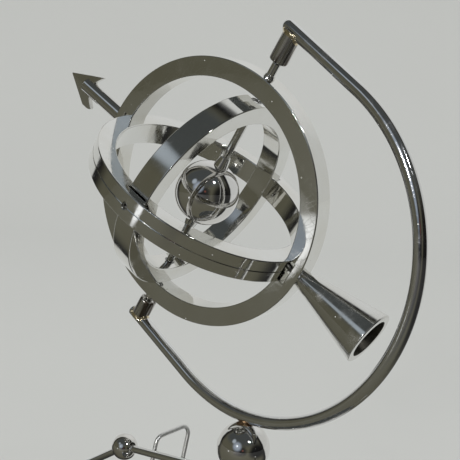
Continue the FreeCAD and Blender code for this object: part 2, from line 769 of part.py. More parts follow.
nodes = {
    "base_disc": base_disc(stop),
    "base_pad": base_pad(),
    "column": column(),
    "column_screw": column_screw(),
    "spindle": spindle(),
    "thrust_washer": thrust_washer(),
    "wire_stop": stop,
    "hub_collar": hub_collar(bar),
    "pedestal_ball": pedestal_ball(yoke),
    "bow_bar": bar,
    "bow_ball_left": bow_ball(-1, bar),
    "bow_ball_right": bow_ball(1, bar),
    "bow_end_left": bow_end(-1, bar),
    "bow_end_right": bow_end(1, bar),
    "yoke_rod": yoke,
    "yoke_braze": yoke_braze(yoke),
    "upper_bushing": bush(1, upper_bush_end, upper_arm_z),
    "lower_bushing": bush(-1, lower_bush_end, lower_arm_z),
    "outer_ring": outer_ring(),
    "middle_ring": middle_ring(),
    "inner_ring": inner_ring(),
    "ring_screws": ring_screws(),
    "arrow_shaft": arrow_shaft(),
    "arrow_head": arrow_head(),
    "tail_cone": tail_cone(),
    "cone_stud": cone_stud(),
    "upper_pivot_pin": pivot_pin(1, upper_bush_gap),
    "lower_pivot_pin": pivot_pin(-1, lower_bush_gap),
    "upper_pin_collar": upper_pin_collar(),
    "lower_pin_collar": lower_pin_collar(),
    "axle_bushes": axle_bushes(),
    "central_ball": central_ball(),
    "ball_axle": ball_axle(),
    "axle_collars": axle_collars(),
}

for name, shape in nodes.items():
    print(name, "solids", len(shape.Solids), "valid", shape.isValid(), "volume", round(shape.Volume, 2))
    shape.exportStep("parts/" + name + ".step")
print("cage centre", cage_centre, "arc radius", round(arc_radius, 2), "arc centre", round(arc_centre_x, 2))
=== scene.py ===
import json
import math
import bpy
import numpy as np
from mathutils import Matrix, Vector


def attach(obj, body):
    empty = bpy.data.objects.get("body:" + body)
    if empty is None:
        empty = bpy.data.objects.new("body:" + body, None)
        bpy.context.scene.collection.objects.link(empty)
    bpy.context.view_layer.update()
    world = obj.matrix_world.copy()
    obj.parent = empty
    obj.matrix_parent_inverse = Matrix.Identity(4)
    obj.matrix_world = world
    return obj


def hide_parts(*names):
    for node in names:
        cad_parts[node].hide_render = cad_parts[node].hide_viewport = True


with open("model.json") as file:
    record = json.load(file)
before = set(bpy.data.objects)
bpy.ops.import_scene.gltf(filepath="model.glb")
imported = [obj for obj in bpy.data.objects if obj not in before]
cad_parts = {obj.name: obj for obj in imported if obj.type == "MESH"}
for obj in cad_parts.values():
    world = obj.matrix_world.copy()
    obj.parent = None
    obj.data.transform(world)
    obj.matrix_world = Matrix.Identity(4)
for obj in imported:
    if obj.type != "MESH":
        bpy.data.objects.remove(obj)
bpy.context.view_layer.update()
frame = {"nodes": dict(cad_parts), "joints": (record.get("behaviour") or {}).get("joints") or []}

# A chromed gyroscope in a leaning yoke on a swivelling stand.
# Sizes in the dictionaries are millimetres and degrees; place() turns mesh points to metres.

metresPerMm = 0.001
creaseAngle = 33                # degrees, edges that turn more stay sharp
beadAngle = 60                  # the same for beads of braze
joints = {joint["name"]: joint for joint in frame["joints"]}


def pick(sizes, *names):
    # the named values of a dictionary, in order
    return [sizes[name] for name in names]


# Frames: an origin in millimetres and a matrix whose columns are the frame's x, y and z

def unit(vector):
    # the vector over its length
    vector = np.asarray(vector, float)
    return vector / np.linalg.norm(vector)


spin = joints["cage_spin"]
cageCentre = np.array(spin["pos_m"]) / metresPerMm
pivotAxis = unit(spin["axis"])
sideAxis = np.array([0.0, 1.0, 0.0])
cageRestTurn = 8.87             # degrees, of the cage in the yoke


def turnedAbout(basis, degrees):
    # basis turned about its own z: x' = x cos a + y sin a, y' = y cos a - x sin a
    cosine, sine = math.cos(math.radians(degrees)), math.sin(math.radians(degrees))
    x, y, z = basis.T
    return np.array([x * cosine + y * sine, y * cosine - x * sine, z]).T


def alongAxis(where, axis, across):
    # frame at the same origin whose z and x are two of the given frame's directions
    origin, basis = where
    z, x = basis @ unit(axis), basis @ unit(across)
    return origin, np.array([x, np.cross(z, x), z]).T


def endFrame(where, side):
    # frame whose z points to the upper end (1) or the lower end (-1) of the pivot axis
    return alongAxis(where, (0, 0, side), (1, 0, 0))


standFrame = (np.zeros(3), np.eye(3))
yokeFrame = (cageCentre, np.array([np.cross(sideAxis, pivotAxis), sideAxis, pivotAxis]).T)
cageFrame = (cageCentre, turnedAbout(yokeFrame[1], cageRestTurn))


def place(points, where):
    # metres in the row frame = (origin + basis * point) / 1000
    origin, basis = where
    return (origin + np.asarray(points, float) @ basis.T) * metresPerMm


# Profiles and paths

def turnedBetween(first, last, angle, shares):
    # vectors between two that lie an angle apart: (sin((1 - s) a) first + sin(s a) last) / sin a
    shares = shares[:, None]
    return (np.sin((1 - shares) * angle) * first + np.sin(shares * angle) * last) / math.sin(angle)


def cornerArc(before, here, after, radius, least, step=math.inf):
    # arc tangent to a corner's two sides, in steps no longer than step: its centre lies on the bisector at
    # radius / sin(half angle); returns its points and the directions along it
    back, ahead = unit(before - here), unit(after - here)
    half = math.acos(float(np.clip(back @ ahead, -1, 1))) / 2
    middle = here + unit(back + ahead) * radius / math.sin(half)
    reach = radius / math.tan(half)
    turn = math.pi - 2 * half
    shares = np.linspace(0, 1, max(least, int(turn * radius / step) + 1))
    spokes = turnedBetween(here + back * reach - middle, here + ahead * reach - middle, turn, shares)
    return middle + spokes, turnedBetween(-back, ahead, turn, shares)


def roundedProfile(corners, steps=5):
    # (r, z, radius) corners, each replaced by an arc tangent to its two sides; without a radius it stays, as
    # the ends of an open profile do
    spots = [np.array(corner[:2], float) for corner in corners]
    out = []
    for index, corner in enumerate(corners):
        before, here, after = spots[index - 1], spots[index], spots[(index + 1) % len(spots)]
        out.append(cornerArc(before, here, after, corner[2], steps)[0] if len(corner) > 2 else [here])
    return np.concatenate(out)


def joinedRuns(points, bendRadii, step=1.5, leastSteps=6):
    # straight runs joined by tangent arcs: the centre line's points and its unit tangents
    points = [np.asarray(point, float) for point in points]
    path, tangents = [points[0]], [unit(points[1] - points[0])]
    for before, here, after, radius in zip(points, points[1:], points[2:], bendRadii):
        arc, directions = cornerArc(before, here, after, radius, leastSteps, step)
        path.extend(arc)
        tangents.extend(directions)
    return np.array(path + [points[-1]]), np.array(tangents + [unit(points[-1] - points[-2])])


def arcPoints(middle, radius, first, last, count):
    # (r, z) points on a circle between two angles in degrees
    angles = np.radians(np.linspace(first, last, count))
    return np.stack([middle[0] + radius * np.cos(angles), middle[1] + radius * np.sin(angles)], axis=1)


def arcThrough(first, middle, last, count):
    # circle through three points: its centre has equal distances to them; even steps from first to last
    first, middle, last = (np.array(point, float) for point in (first, middle, last))
    sides = 2 * np.array([middle - first, last - first])
    centre = np.linalg.solve(sides, [middle @ middle - first @ first, last @ last - first @ first])
    start, halfway, end = (math.atan2(*(point - centre)[::-1]) for point in (first, middle, last))
    halfway = start + (halfway - start + math.pi) % (2 * math.pi) - math.pi
    end = halfway + (end - halfway + math.pi) % (2 * math.pi) - math.pi
    return arcPoints(centre, np.linalg.norm(first - centre), math.degrees(start), math.degrees(end), count)


# Surfaces: each is an array of points and an array of quads, whose last two corners are alike in a triangle

def evenAngles(steps):
    # angles in even steps round the circle
    return np.linspace(0, 2 * math.pi, steps, endpoint=False)


def around(radius, height, angles):
    # (r cos t, r sin t, z) for each radius and height and each angle t
    return np.stack(np.broadcast_arrays(radius * np.cos(angles), radius * np.sin(angles), height), axis=-1)


def stripFaces(rows, columns, closeRows):
    # quads between neighbouring rows and columns of a grid whose columns close on themselves
    across = np.arange(columns)
    nextAcross = (across + 1) % columns
    strips = []
    for row in range(rows if closeRows else rows - 1):
        below, above = row * columns, ((row + 1) % rows) * columns
        strips.append([below + across, below + nextAcross, above + nextAcross, above + across])
    return np.concatenate(strips, axis=1).T


def closedRows(rows):
    # closed rings of points, the last joined to the first
    rows = np.asarray(rows, float)
    return rows.reshape(-1, 3), stripFaces(rows.shape[0], rows.shape[1], True)


def cappedRows(rows, poles):
    # closed rings of points, with a fan of triangles from the first and from the last one to their poles
    rows = np.asarray(rows, float)
    count, columns = rows.shape[:2]
    across = np.arange(columns)
    nextAcross = (across + 1) % columns
    start, pole = (count - 1) * columns, np.full(columns, count * columns)
    fans = [[nextAcross, across, pole, pole], [start + across, start + nextAcross, pole + 1, pole + 1]]
    faces = np.concatenate([stripFaces(count, columns, False), *(np.stack(fan, axis=1) for fan in fans)])
    return np.concatenate([rows.reshape(-1, 3), poles]), faces


def turnedShape(profile, steps=128, closed=False):
    # solid of revolution: (r cos t, r sin t, z) for the profile's (r, z) and t round the circle;
    # an open profile starts and ends on the axis, a closed one is a ring
    profile = np.asarray(profile, float)
    inner = profile if closed else profile[1:-1]
    rows = around(inner[:, :1], inner[:, 1:], evenAngles(steps))
    return closedRows(rows) if closed else cappedRows(rows, [[0, 0, profile[0, 1]], [0, 0, profile[-1, 1]]])


# caps of a bar: (share of its radius along the bar, share across it), from the rim to the pole
domeCap = [(math.sin(angle), math.cos(angle)) for angle in np.radians((15, 30, 45, 60, 75, 90))]
cutCap = [(0.0, 1.0), (0.1, 0.985), (0.17, 0.94), (0.2, 0.87), (0.2, 0.0)]      # square cut, edge taken off


def sweptBar(path, tangents, planeNormal, radius, steps, startCap, endCap):
    # round bar along a path in a plane: centre + radius * (normal cos t + binormal sin t)
    startAlong, startAcross = np.array(startCap[::-1]).T
    endAlong, endAcross = np.array(endCap).T
    centres = np.concatenate([path[0] - np.outer(startAlong, tangents[0]) * radius, path,
                              path[-1] + np.outer(endAlong, tangents[-1]) * radius])
    widths = np.concatenate([startAcross, np.ones(len(path)), endAcross]) * radius
    directions = np.concatenate([np.tile(tangents[0], (len(startCap), 1)), tangents,
                                 np.tile(tangents[-1], (len(endCap), 1))])
    binormals = np.cross(directions, planeNormal)
    angles = evenAngles(steps)[:, None]
    rings = centres[:, None] + widths[:, None, None] * (np.cos(angles) * planeNormal
                                                        + np.sin(angles) * binormals[:, None])
    return cappedRows(rings[1:-1], centres[[0, -1]])


# Pieces

def outwardFaces(points, faces):
    # turns all faces over if the signed volume, the sum of a.(b x c) / 6 over triangles, is negative
    volume = 0.0
    for first, second in ((1, 2), (2, 3)):
        a, b, c = points[faces[:, 0]], points[faces[:, first]], points[faces[:, second]]
        volume += np.einsum("ij,ij->i", a, np.cross(b, c)).sum() / 6
    return faces if volume > 0 else faces[:, ::-1]


def linkedObject(name, points, faces):
    # object from arrays, at the origin
    mesh = bpy.data.meshes.new(name)
    mesh.from_pydata(points.tolist(), [], [tuple(dict.fromkeys(face)) for face in faces.tolist()])
    made = bpy.data.objects.new(name, mesh)
    bpy.context.scene.collection.objects.link(made)
    return made


def dress(piece, materialName):
    # one material for the whole piece
    piece.data.materials.clear()
    piece.data.materials.append(metals[materialName])


def makePiece(name, body, look, shape, where, replaced=(), sharpAngle=creaseAngle):
    # smooth piece that rides on a body and stands for the nodes in replaced; its look is a slot name, which is
    # not used, and a material
    slotName, materialName = look
    points, faces = place(shape[0], where), shape[1]
    piece = linkedObject(name, points, outwardFaces(points, faces))
    piece.data.validate()
    piece.data.shade_smooth()
    piece.data.set_sharp_from_angle(angle=math.radians(sharpAngle))
    even = piece.modifiers.new("evenNormals", "WEIGHTED_NORMAL")
    even.keep_sharp = True
    even.weight = 60
    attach(piece, body)
    if replaced:
        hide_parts(*replaced)
    dress(piece, materialName)
    return piece


def turnedPiece(name, body, look, profile, where, replaced, steps=128, closed=False):
    # piece whose surface is a solid of revolution
    return makePiece(name, body, look, turnedShape(profile, steps, closed), where, replaced)


def cutWith(piece, cutters):
    # cuts holes by exact boolean differences and keeps the result as the piece's own mesh
    for points, faces in cutters:
        cutter = linkedObject("cutter", points, outwardFaces(points, faces))
        hole = piece.modifiers.new("hole", "BOOLEAN")
        hole.operation = "DIFFERENCE"
        hole.solver = "EXACT"
        hole.object = cutter
        piece.modifiers.move(piece.modifiers.find("hole"), 0)
        for other in piece.modifiers:
            other.show_viewport = other == hole
        graph = bpy.context.evaluated_depsgraph_get()
        cut = bpy.data.meshes.new_from_object(piece.evaluated_get(graph))
        piece.modifiers.remove(hole)
        for other in piece.modifiers:
            other.show_viewport = True
        spare = [piece.data, cutter.data]
        piece.data = cut
        cut.name = piece.name
        bpy.data.objects.remove(cutter)
        for mesh in spare:
            bpy.data.meshes.remove(mesh)
        cut.shade_smooth()
        cut.set_sharp_from_angle(angle=math.radians(creaseAngle))


# Materials

def makeNode(tree, kind, inputs, **settings):
    # shader node with its settings; each input takes a fixed value or a link from a socket
    node = tree.nodes.new(kind)
    for name, value in settings.items():
        setattr(node, name, value)
    for name, value in inputs.items():
        if isinstance(value, bpy.types.NodeSocket):
            tree.links.new(value, node.inputs[name])
        else:
            node.inputs[name].default_value = value
    return node


def mathNode(tree, operation, first, second=0.0):
    # one arithmetic step
    return makeNode(tree, "ShaderNodeMath", {0: first, 1: second}, operation=operation).outputs["Value"]


def dotNode(tree, source, direction):
    # cosine of the angle between a unit vector and a fixed direction
    inputs = {0: source, 1: tuple(unit(direction))}
    return makeNode(tree, "ShaderNodeVectorMath", inputs, operation="DOT_PRODUCT").outputs["Value"]


def mixNode(tree, share, first, second):
    # colour mix; the colours are sockets or three fixed values
    first, second = ((*colour, 1) if isinstance(colour, tuple) else colour for colour in (first, second))
    return makeNode(tree, "ShaderNodeMix", {0: share, 6: first, 7: second}, data_type="RGBA").outputs[2]


def rangeNode(tree, source, fromLow, fromHigh, toLow=0.0, toHigh=1.0, curve="LINEAR"):
    # map of one range of values to another, clamped
    inputs = {"Value": source, "From Min": fromLow, "From Max": fromHigh, "To Min": toLow, "To Max": toHigh}
    return makeNode(tree, "ShaderNodeMapRange", inputs, interpolation_type=curve).outputs["Result"]


def rampNode(tree, source, low, high, lowColour, highColour):
    # colour ramp between two positions
    node = makeNode(tree, "ShaderNodeValToRGB", {"Fac": source})
    for element, position, colour in zip(node.color_ramp.elements, (low, high), (lowColour, highColour)):
        element.position = position
        element.color = (*colour, 1)
    return node.outputs["Color"]


def noiseNode(tree, scale, detail=3.0, rough=0.5, stretch=(1, 1, 1), turn=(0, 0, 0)):
    # noise on object coordinates, turned by angles in degrees and then drawn out along its own axes
    mapped = {"Vector": objectPoint(tree), "Rotation": [math.radians(part) for part in turn], "Scale": stretch}
    mapping = makeNode(tree, "ShaderNodeMapping", mapped, vector_type="TEXTURE")
    inputs = {"Vector": mapping.outputs["Vector"], "Scale": scale, "Detail": detail, "Roughness": rough}
    return makeNode(tree, "ShaderNodeTexNoise", inputs).outputs["Fac"]


def objectPoint(tree):
    # the shaded point in the object's own coordinates
    return makeNode(tree, "ShaderNodeTexCoord", {}).outputs["Object"]


def feed(tree, surface, inputs):
    # links to a surface's inputs
    for name, source in inputs.items():
        tree.links.new(source, surface.inputs[name])


def addBump(tree, surface, layers):
    # chained bumps, each (height source, strength, distance in metres)
    chain = {}
    for source, strength, distance in layers:
        inputs = {"Height": source, "Strength": strength, "Distance": distance, **chain}
        chain = {"Normal": makeNode(tree, "ShaderNodeBump", inputs).outputs["Normal"]}
    feed(tree, surface, chain)


def newMaterial(name, baseColour, metallic, roughness):
    # principled surface with its constant values on its own sockets
    material = bpy.data.materials.new(name)
    material.use_nodes = True
    surface = material.node_tree.nodes["Principled BSDF"]
    surface.inputs["Base Color"].default_value = (*baseColour, 1)
    surface.inputs["Metallic"].default_value = metallic
    surface.inputs["Roughness"].default_value = roughness
    return material, material.node_tree, surface


def hairlines(tree, scale, turn):
    # thin wandering lines: 1 where a drawn-out noise crosses its middle value, 0 at the width beside it
    noise = noiseNode(tree, scale, chromeWear["lineDetail"], stretch=chromeWear["lineStretch"], turn=turn)
    away = mathNode(tree, "ABSOLUTE", mathNode(tree, "SUBTRACT", noise, 0.5))
    return rangeNode(tree, away, 0.0, chromeWear["lineWidth"], 1.0, 0.0)


def dustSpecks(tree, share):
    # a soft dot in the given share of the cells of a Voronoi pattern
    inputs = {"Vector": objectPoint(tree), "Scale": chromeWear["speckScale"]}
    cells = makeNode(tree, "ShaderNodeTexVoronoi", inputs)
    parts = makeNode(tree, "ShaderNodeSeparateColor", {"Color": cells.outputs["Color"]})
    radius = chromeWear["speckRadius"]
    core = radius * chromeWear["speckCore"]
    dot = rangeNode(tree, cells.outputs["Distance"], core, radius, 1.0, 0.0)
    return mathNode(tree, "MULTIPLY", dot, mathNode(tree, "LESS_THAN", parts.outputs["Red"], share))


# wave and ripple are heights in metres; smear is where the rough patches start, lower is more of them
chromeLooks = {
    "ringChrome": dict(colour=(0.80, 0.80, 0.785), roughLow=0.03, roughHigh=0.15, smear=0.50, wave=0.00007,
                       waveScale=75, ripple=0.0000045, rippleScale=330, specks=0.06),
    "barChrome": dict(colour=(0.78, 0.785, 0.80), roughLow=0.05, roughHigh=0.18, smear=0.48, wave=0.00002,
                      waveScale=120, ripple=0.000005, rippleScale=420, specks=0.05),
    "ballChrome": dict(colour=(0.82, 0.815, 0.815), roughLow=0.02, roughHigh=0.10, smear=0.55, wave=0.00001,
                       waveScale=90, ripple=0.0000015, rippleScale=300, specks=0.06),
    "fittingChrome": dict(colour=(0.76, 0.76, 0.75), roughLow=0.05, roughHigh=0.26, smear=0.46, wave=0.00002,
                          waveScale=160, ripple=0.000006, rippleScale=450, specks=0.06),
    "footChrome": dict(colour=(0.80, 0.80, 0.79), roughLow=0.05, roughHigh=0.16, smear=0.50, wave=0.00002,
                       waveScale=60, ripple=0.000003, rippleScale=300, specks=0.06),
}
# what all the chrome has in common; tarnish is the share of the colour that is left where it is most
chromeWear = dict(
    smearScale=140, smearDetail=5.0, smearRough=0.6, smearBefore=0.06, smearAfter=0.2,
    lineScales=(260, 330), lineTurns=((20, 35, 15), (-30, 10, 70)), lineStretch=(1, 30, 1), lineDetail=0.5,
    lineWidth=0.02, lineRough=0.07, lineStrength=0.25, lineDepth=0.000004,
    speckScale=480, speckRadius=0.13, speckCore=0.5, speckRough=0.5, speckMatt=0.85, dust=(0.72, 0.72, 0.70),
    tarnishScale=55, tarnishDetail=4.0, tarnishLow=0.35, tarnishHigh=0.75, tarnish=(0.92, 0.90, 0.86),
    waveDetail=1.5, rippleDetail=3.0, rippleRough=0.55,
)


def chromeMaterial(name):
    # mirror metal: smears move the roughness, a slow wave, a ripple and hairlines move the normal, and dust
    # specks are pale and matt
    look, wear = chromeLooks[name], chromeWear
    material, tree, surface = newMaterial(name, look["colour"], 1.0, look["roughLow"])
    smear = noiseNode(tree, wear["smearScale"], wear["smearDetail"], wear["smearRough"])
    rough = rangeNode(tree, smear, look["smear"] - wear["smearBefore"], look["smear"] + wear["smearAfter"],
                      look["roughLow"], look["roughHigh"])
    lines = mathNode(tree, "MAXIMUM", *(hairlines(tree, scale, turn)
                                        for scale, turn in zip(wear["lineScales"], wear["lineTurns"])))
    specks = dustSpecks(tree, look["specks"])
    for marks, amount in ((lines, wear["lineRough"]), (specks, wear["speckRough"])):
        rough = mathNode(tree, "ADD", rough, mathNode(tree, "MULTIPLY", marks, amount))
    tarnish = noiseNode(tree, wear["tarnishScale"], wear["tarnishDetail"])
    tarnished = tuple(part * left for part, left in zip(look["colour"], wear["tarnish"]))
    tint = rampNode(tree, tarnish, wear["tarnishLow"], wear["tarnishHigh"], look["colour"], tarnished)
    matt = mathNode(tree, "MULTIPLY", specks, wear["speckMatt"])
    feed(tree, surface, {"Roughness": rough, "Base Color": mixNode(tree, specks, tint, wear["dust"]),
                         "Metallic": mathNode(tree, "SUBTRACT", 1.0, matt)})
    wave = noiseNode(tree, look["waveScale"], wear["waveDetail"])
    ripple = noiseNode(tree, look["rippleScale"], wear["rippleDetail"], wear["rippleRough"])
    addBump(tree, surface, [(wave, 1.0, look["wave"]), (ripple, 1.0, look["ripple"]),
                            (lines, wear["lineStrength"], wear["lineDepth"])])
    return material


# plain metals: colour, roughness from and to, scale of the grain and its depth in metres
wornLooks = {
    "steelHardware": ((0.34, 0.34, 0.335), 0.22, 0.42, 900, 0.00001),
    "brassWasher": ((0.72, 0.55, 0.28), 0.2, 0.4, 900, 0.00001),
    "brazeMetal": ((0.21, 0.135, 0.075), 0.3, 0.55, 700, 0.00007),
    "brazeGold": ((0.84, 0.72, 0.50), 0.12, 0.32, 1100, 0.00006),
    # painted shade: the bore's dark colour stands in for the shade inside the cone's mouth
    "boreShadeMetal": ((0.085, 0.080, 0.066), 0.40, 0.62, 500, 0.00003),
    "stopWire": ((0.80, 0.80, 0.79), 0.34, 0.46, 1400, 0.00001),
}
grainLook = dict(detail=4.0, rough=0.65, darker=0.72, roughFrom=0.35, roughTo=0.7, tintFrom=0.3, tintTo=0.7)


def wornMetal(name):
    # the grain moves the colour a little, the roughness and the normal
    colour, roughLow, roughHigh, scale, depth = wornLooks[name]
    material, tree, surface = newMaterial(name, colour, 1.0, roughLow)
    grain = noiseNode(tree, scale, grainLook["detail"], grainLook["rough"])
    rough = rangeNode(tree, grain, grainLook["roughFrom"], grainLook["roughTo"], roughLow, roughHigh)
    darker = tuple(part * grainLook["darker"] for part in colour)
    tint = rampNode(tree, grain, grainLook["tintFrom"], grainLook["tintTo"], darker, colour)
    feed(tree, surface, {"Roughness": rough, "Base Color": tint})
    addBump(tree, surface, [(grain, 1.0, depth)])
    return material


# painted reflection: the dark and bright streak colours stand in for what the bush mirrors, not for marks on
# the metal
reflectionStreaks = dict(colour=(0.62, 0.61, 0.59), rough=0.2, scale=620, stretch=(1, 1, 14), darkEnd=0.40,
                brightEnd=0.56, dark=(0.085, 0.070, 0.055), bright=(0.66, 0.65, 0.63), darkRough=0.42,
                brightRough=0.16, roughFrom=0.4, roughTo=0.6, strength=0.8, depth=0.00003)
yokeLean = math.degrees(math.atan2(pivotAxis[0], pivotAxis[2]))


def paintedReflectionMetal():
    # bush metal with painted reflections: bright, with brown-black streaks in its colour along the pivot axis,
    # standing in for what the round bush mirrors
    material, tree, surface = newMaterial("paintedReflectionMetal", reflectionStreaks["colour"], 1.0, reflectionStreaks["rough"])
    reflectionStreakMask = noiseNode(tree, reflectionStreaks["scale"], stretch=reflectionStreaks["stretch"], turn=(0, yokeLean, 0))
    tint = rampNode(tree, reflectionStreakMask, reflectionStreaks["darkEnd"], reflectionStreaks["brightEnd"], reflectionStreaks["dark"],
                    reflectionStreaks["bright"])
    rough = rangeNode(tree, reflectionStreakMask, reflectionStreaks["roughFrom"], reflectionStreaks["roughTo"], reflectionStreaks["darkRough"],
                      reflectionStreaks["brightRough"])
    feed(tree, surface, {"Base Color": tint, "Roughness": rough})
    addBump(tree, surface, [(reflectionStreakMask, reflectionStreaks["strength"], reflectionStreaks["depth"])])
    return material


rubber = dict(colour=(0.02, 0.02, 0.021), rough=0.8, dark=(0.018, 0.018, 0.019), dusty=(0.05, 0.049, 0.047),
              dustScale=90, dustDetail=5.0, dustFrom=0.4, dustTo=0.75, grainScale=1500, strength=0.6,
              depth=0.00008)


def rubberMaterial():
    # dark pad: fine grain and dusty patches
    material, tree, surface = newMaterial("padRubber", rubber["colour"], 0.0, rubber["rough"])
    dust = noiseNode(tree, rubber["dustScale"], rubber["dustDetail"])
    tint = rampNode(tree, dust, rubber["dustFrom"], rubber["dustTo"], rubber["dark"], rubber["dusty"])
    feed(tree, surface, {"Base Color": tint})
    addBump(tree, surface, [(noiseNode(tree, rubber["grainScale"]), rubber["strength"], rubber["depth"])])
    return material


metals = {name: chromeMaterial(name) for name in chromeLooks}
metals.update({name: wornMetal(name) for name in wornLooks})
metals["paintedReflectionMetal"] = paintedReflectionMetal()
metals["padRubber"] = rubberMaterial()
print("stage: materials ready", len(metals))

fittingLook = ("polished_fittings", "fittingChrome")
ballLook = ("polished_balls", "ballChrome")
barLook = ("polished_bars", "barChrome")
standLook = ("polished_stand", "fittingChrome")
steelLook = ("steel_hardware", "steelHardware")
ends = {1: "upper", -1: "lower"}        # of the pivot axis

# Rings: axis and across are the ring's z and x in the cage; the smaller rings sit in the notches

rings = {
    "outer_ring": dict(radius=50.5, wall=7.3, width=8.6, axis=(0, 1, 0), across=(1, 0, 0),
                       notchHalf=4.65, notchReach=46.8, notchAngles=(0, 180), grooved=False),
    "middle_ring": dict(radius=45.4, wall=7.1, width=9.3, axis=(0, 0, 1), across=(1, 0, 0),
                        notchHalf=4.4, notchReach=41.85, notchAngles=(90, 270), grooved=True),
    "inner_ring": dict(radius=40.95, wall=7.1, width=8.8, axis=(1, 0, 0), across=(0, 0, 1),
                       notchHalf=0, notchReach=0, notchAngles=(), grooved=False),
}
ringFinish = dict(edge=0.42, grooveWidth=0.45, grooveDepth=0.3, grooveLip=0.07, columns=360, notchColumns=9,
                  notchRoom=0.004)          # radians kept free of columns beside a notch


def ringColumns(ring):
    # angles round the ring and the bore's radius at each: inside a notch the bore is the notch's flat floor
    bore = ring["radius"] - ring["wall"]
    half, reach = ring["notchHalf"], ring["notchReach"]
    angles = evenAngles(ringFinish["columns"])
    bores = np.full(len(angles), bore)
    for notch in ring["notchAngles"]:
        middle = math.radians(notch)
        wallAngle, floorAngle = math.asin(half / bore), math.atan2(half, reach)
        away = (angles - middle + math.pi) % (2 * math.pi) - math.pi
        keep = np.abs(away) > wallAngle + ringFinish["notchRoom"]
        floor = np.linspace(-floorAngle, floorAngle, ringFinish["notchColumns"])
        angles = np.concatenate([angles[keep], middle + np.concatenate([[-wallAngle], floor, [wallAngle]])])
        bores = np.concatenate([bores[keep], [bore], reach / np.cos(floor), [bore]])
    order = np.argsort(angles % (2 * math.pi), kind="stable")
    return (angles % (2 * math.pi))[order], bores[order]


def ringProfile(ring):
    # closed (r, w) outline with rounded edges and, on a grooved ring, a fine groove round the outer wall; the
    # flag marks the points that follow the bore
    bore, outer, side = ring["radius"] - ring["wall"], ring["radius"], ring["width"] / 2
    edge, half = ringFinish["edge"], ringFinish["grooveWidth"] / 2
    lip, deep = ringFinish["grooveLip"], outer - ringFinish["grooveDepth"]
    groove = [(outer, -half - lip), (outer - lip, -half), (deep, -half), (deep, half), (outer - lip, half),
              (outer, half + lip)]
    corners = [(bore, side, edge), (bore, -side, edge), (outer, -side, edge)]
    corners += (groove if ring["grooved"] else [(outer, 0)]) + [(outer, side, edge)]
    outline = roundedProfile(corners)
    return outline, outline[:, 0] < (bore + outer) / 2


def makeRing(name):
    # (r cos t, r sin t, w), with the bore's points moved out to the notch floor where there is a notch
    ring = rings[name]
    outline, followsBore = ringProfile(ring)
    angles, bores = ringColumns(ring)
    radius = outline[:, :1] + np.outer(followsBore, bores - (ring["radius"] - ring["wall"]))
    return makePiece(name.replace("_ring", "Ring"), "cage", ("polished_rings", "ringChrome"),
                     closedRows(around(radius, outline[:, 1:], angles)),
                     alongAxis(cageFrame, ring["axis"], ring["across"]), [name])


ringPieces = {name: makeRing(name) for name in rings}

screws = dict(headRadius=1.25, headRecess=0.45, headLength=1.5, socketFlat=0.648, socketDepth=0.9,
              chamfer=0.25, play=0.03, rim=0.2, edge=0.06, steps=72)
bushes = dict(radius=2.0, recess=0.25, bore=1.05, journal=1.0, play=0.02, edge=0.15, boreEdge=0.2,
              holeEdge=0.1)
screwWall, bushWall = rings["middle_ring"]["radius"], rings["inner_ring"]["radius"]


def sunkHoles(piece, axis, radius, wallRadius, depth, chamfer):
    # a round hole from each side of a ring, along the given axis, with a chamfer at its mouth
    floor, beyond = wallRadius - depth, 1.0
    profile = [(0, floor), (radius, floor), (radius, wallRadius - chamfer), (radius + chamfer, wallRadius),
               (radius + chamfer + beyond, wallRadius + beyond), (0, wallRadius + beyond)]
    points, faces = turnedShape(profile, steps=48)
    cutWith(piece, [(place(points, alongAxis(cageFrame, side * np.array(axis), (1, 0, 0))), faces)
                    for side in (1, -1)])


sunkHoles(ringPieces["middle_ring"], (0, 1, 0), screws["headRadius"] + screws["play"], screwWall,
          screws["headRecess"] + screws["headLength"], screws["chamfer"])
sunkHoles(ringPieces["inner_ring"], (0, 0, 1), bushes["radius"] + bushes["play"], bushWall,
          rings["inner_ring"]["wall"] + 1, bushes["holeEdge"])
print("stage: rings made")


# Screws and bushes in the rings

def ringScrew(side):
    # sunk screw with a domed rim and a six-sided socket, whose radius is
    # (distance to a flat) / cos(angle to the nearest flat's middle)
    top, head, edge = screwWall - screws["headRecess"], screws["headRadius"], screws["edge"]
    bottom, floor = top - screws["headLength"], top - screws["socketDepth"]
    angles = evenAngles(screws["steps"])
    socket = screws["socketFlat"] / np.cos((angles % (math.pi / 3)) - math.pi / 6)
    rows = [around(radius, height, angles) for radius, height in (
        (head, bottom), (head, top - screws["rim"]), (head - edge, top - edge), (head - screws["rim"], top),
        (socket + edge, top), (socket, top - edge), (socket, floor))]
    where = alongAxis(cageFrame, (0, side, 0), (1, 0, 0))
    makePiece("ringScrewBack" if side > 0 else "ringScrewFront", "cage", steelLook,
              cappedRows(rows, [[0, 0, bottom], [0, 0, floor]]), where, ["ring_screws"])


def axleBush(side):
    # tube with chamfered ends in the inner ring
    inner, outer = bushWall - rings["inner_ring"]["wall"] + bushes["play"], bushWall - bushes["recess"]
    radius, bore, edge, boreEdge = pick(bushes, "radius", "bore", "edge", "boreEdge")
    profile = [(bore, inner), (radius, inner), (radius, outer - edge), (radius - edge, outer),
               (bore + boreEdge, outer), (bore, outer - boreEdge)]
    turnedPiece("axleBush" + ends[side].title(), "cage", steelLook, profile, endFrame(cageFrame, side),
                ["axle_bushes"], steps=64, closed=True)


for side in ends:
    ringScrew(side)
    axleBush(side)

# Ball and axle

rotor = dict(ballRadius=12.25, axleRadius=1.475, shoulder=33.6, journalEnd=40.5, collarRoot=2.8,
             collarTip=1.95, collarLength=4.2, boreRoom=0.2, boreEdge=0.15, seat=0.3, root=0.5)


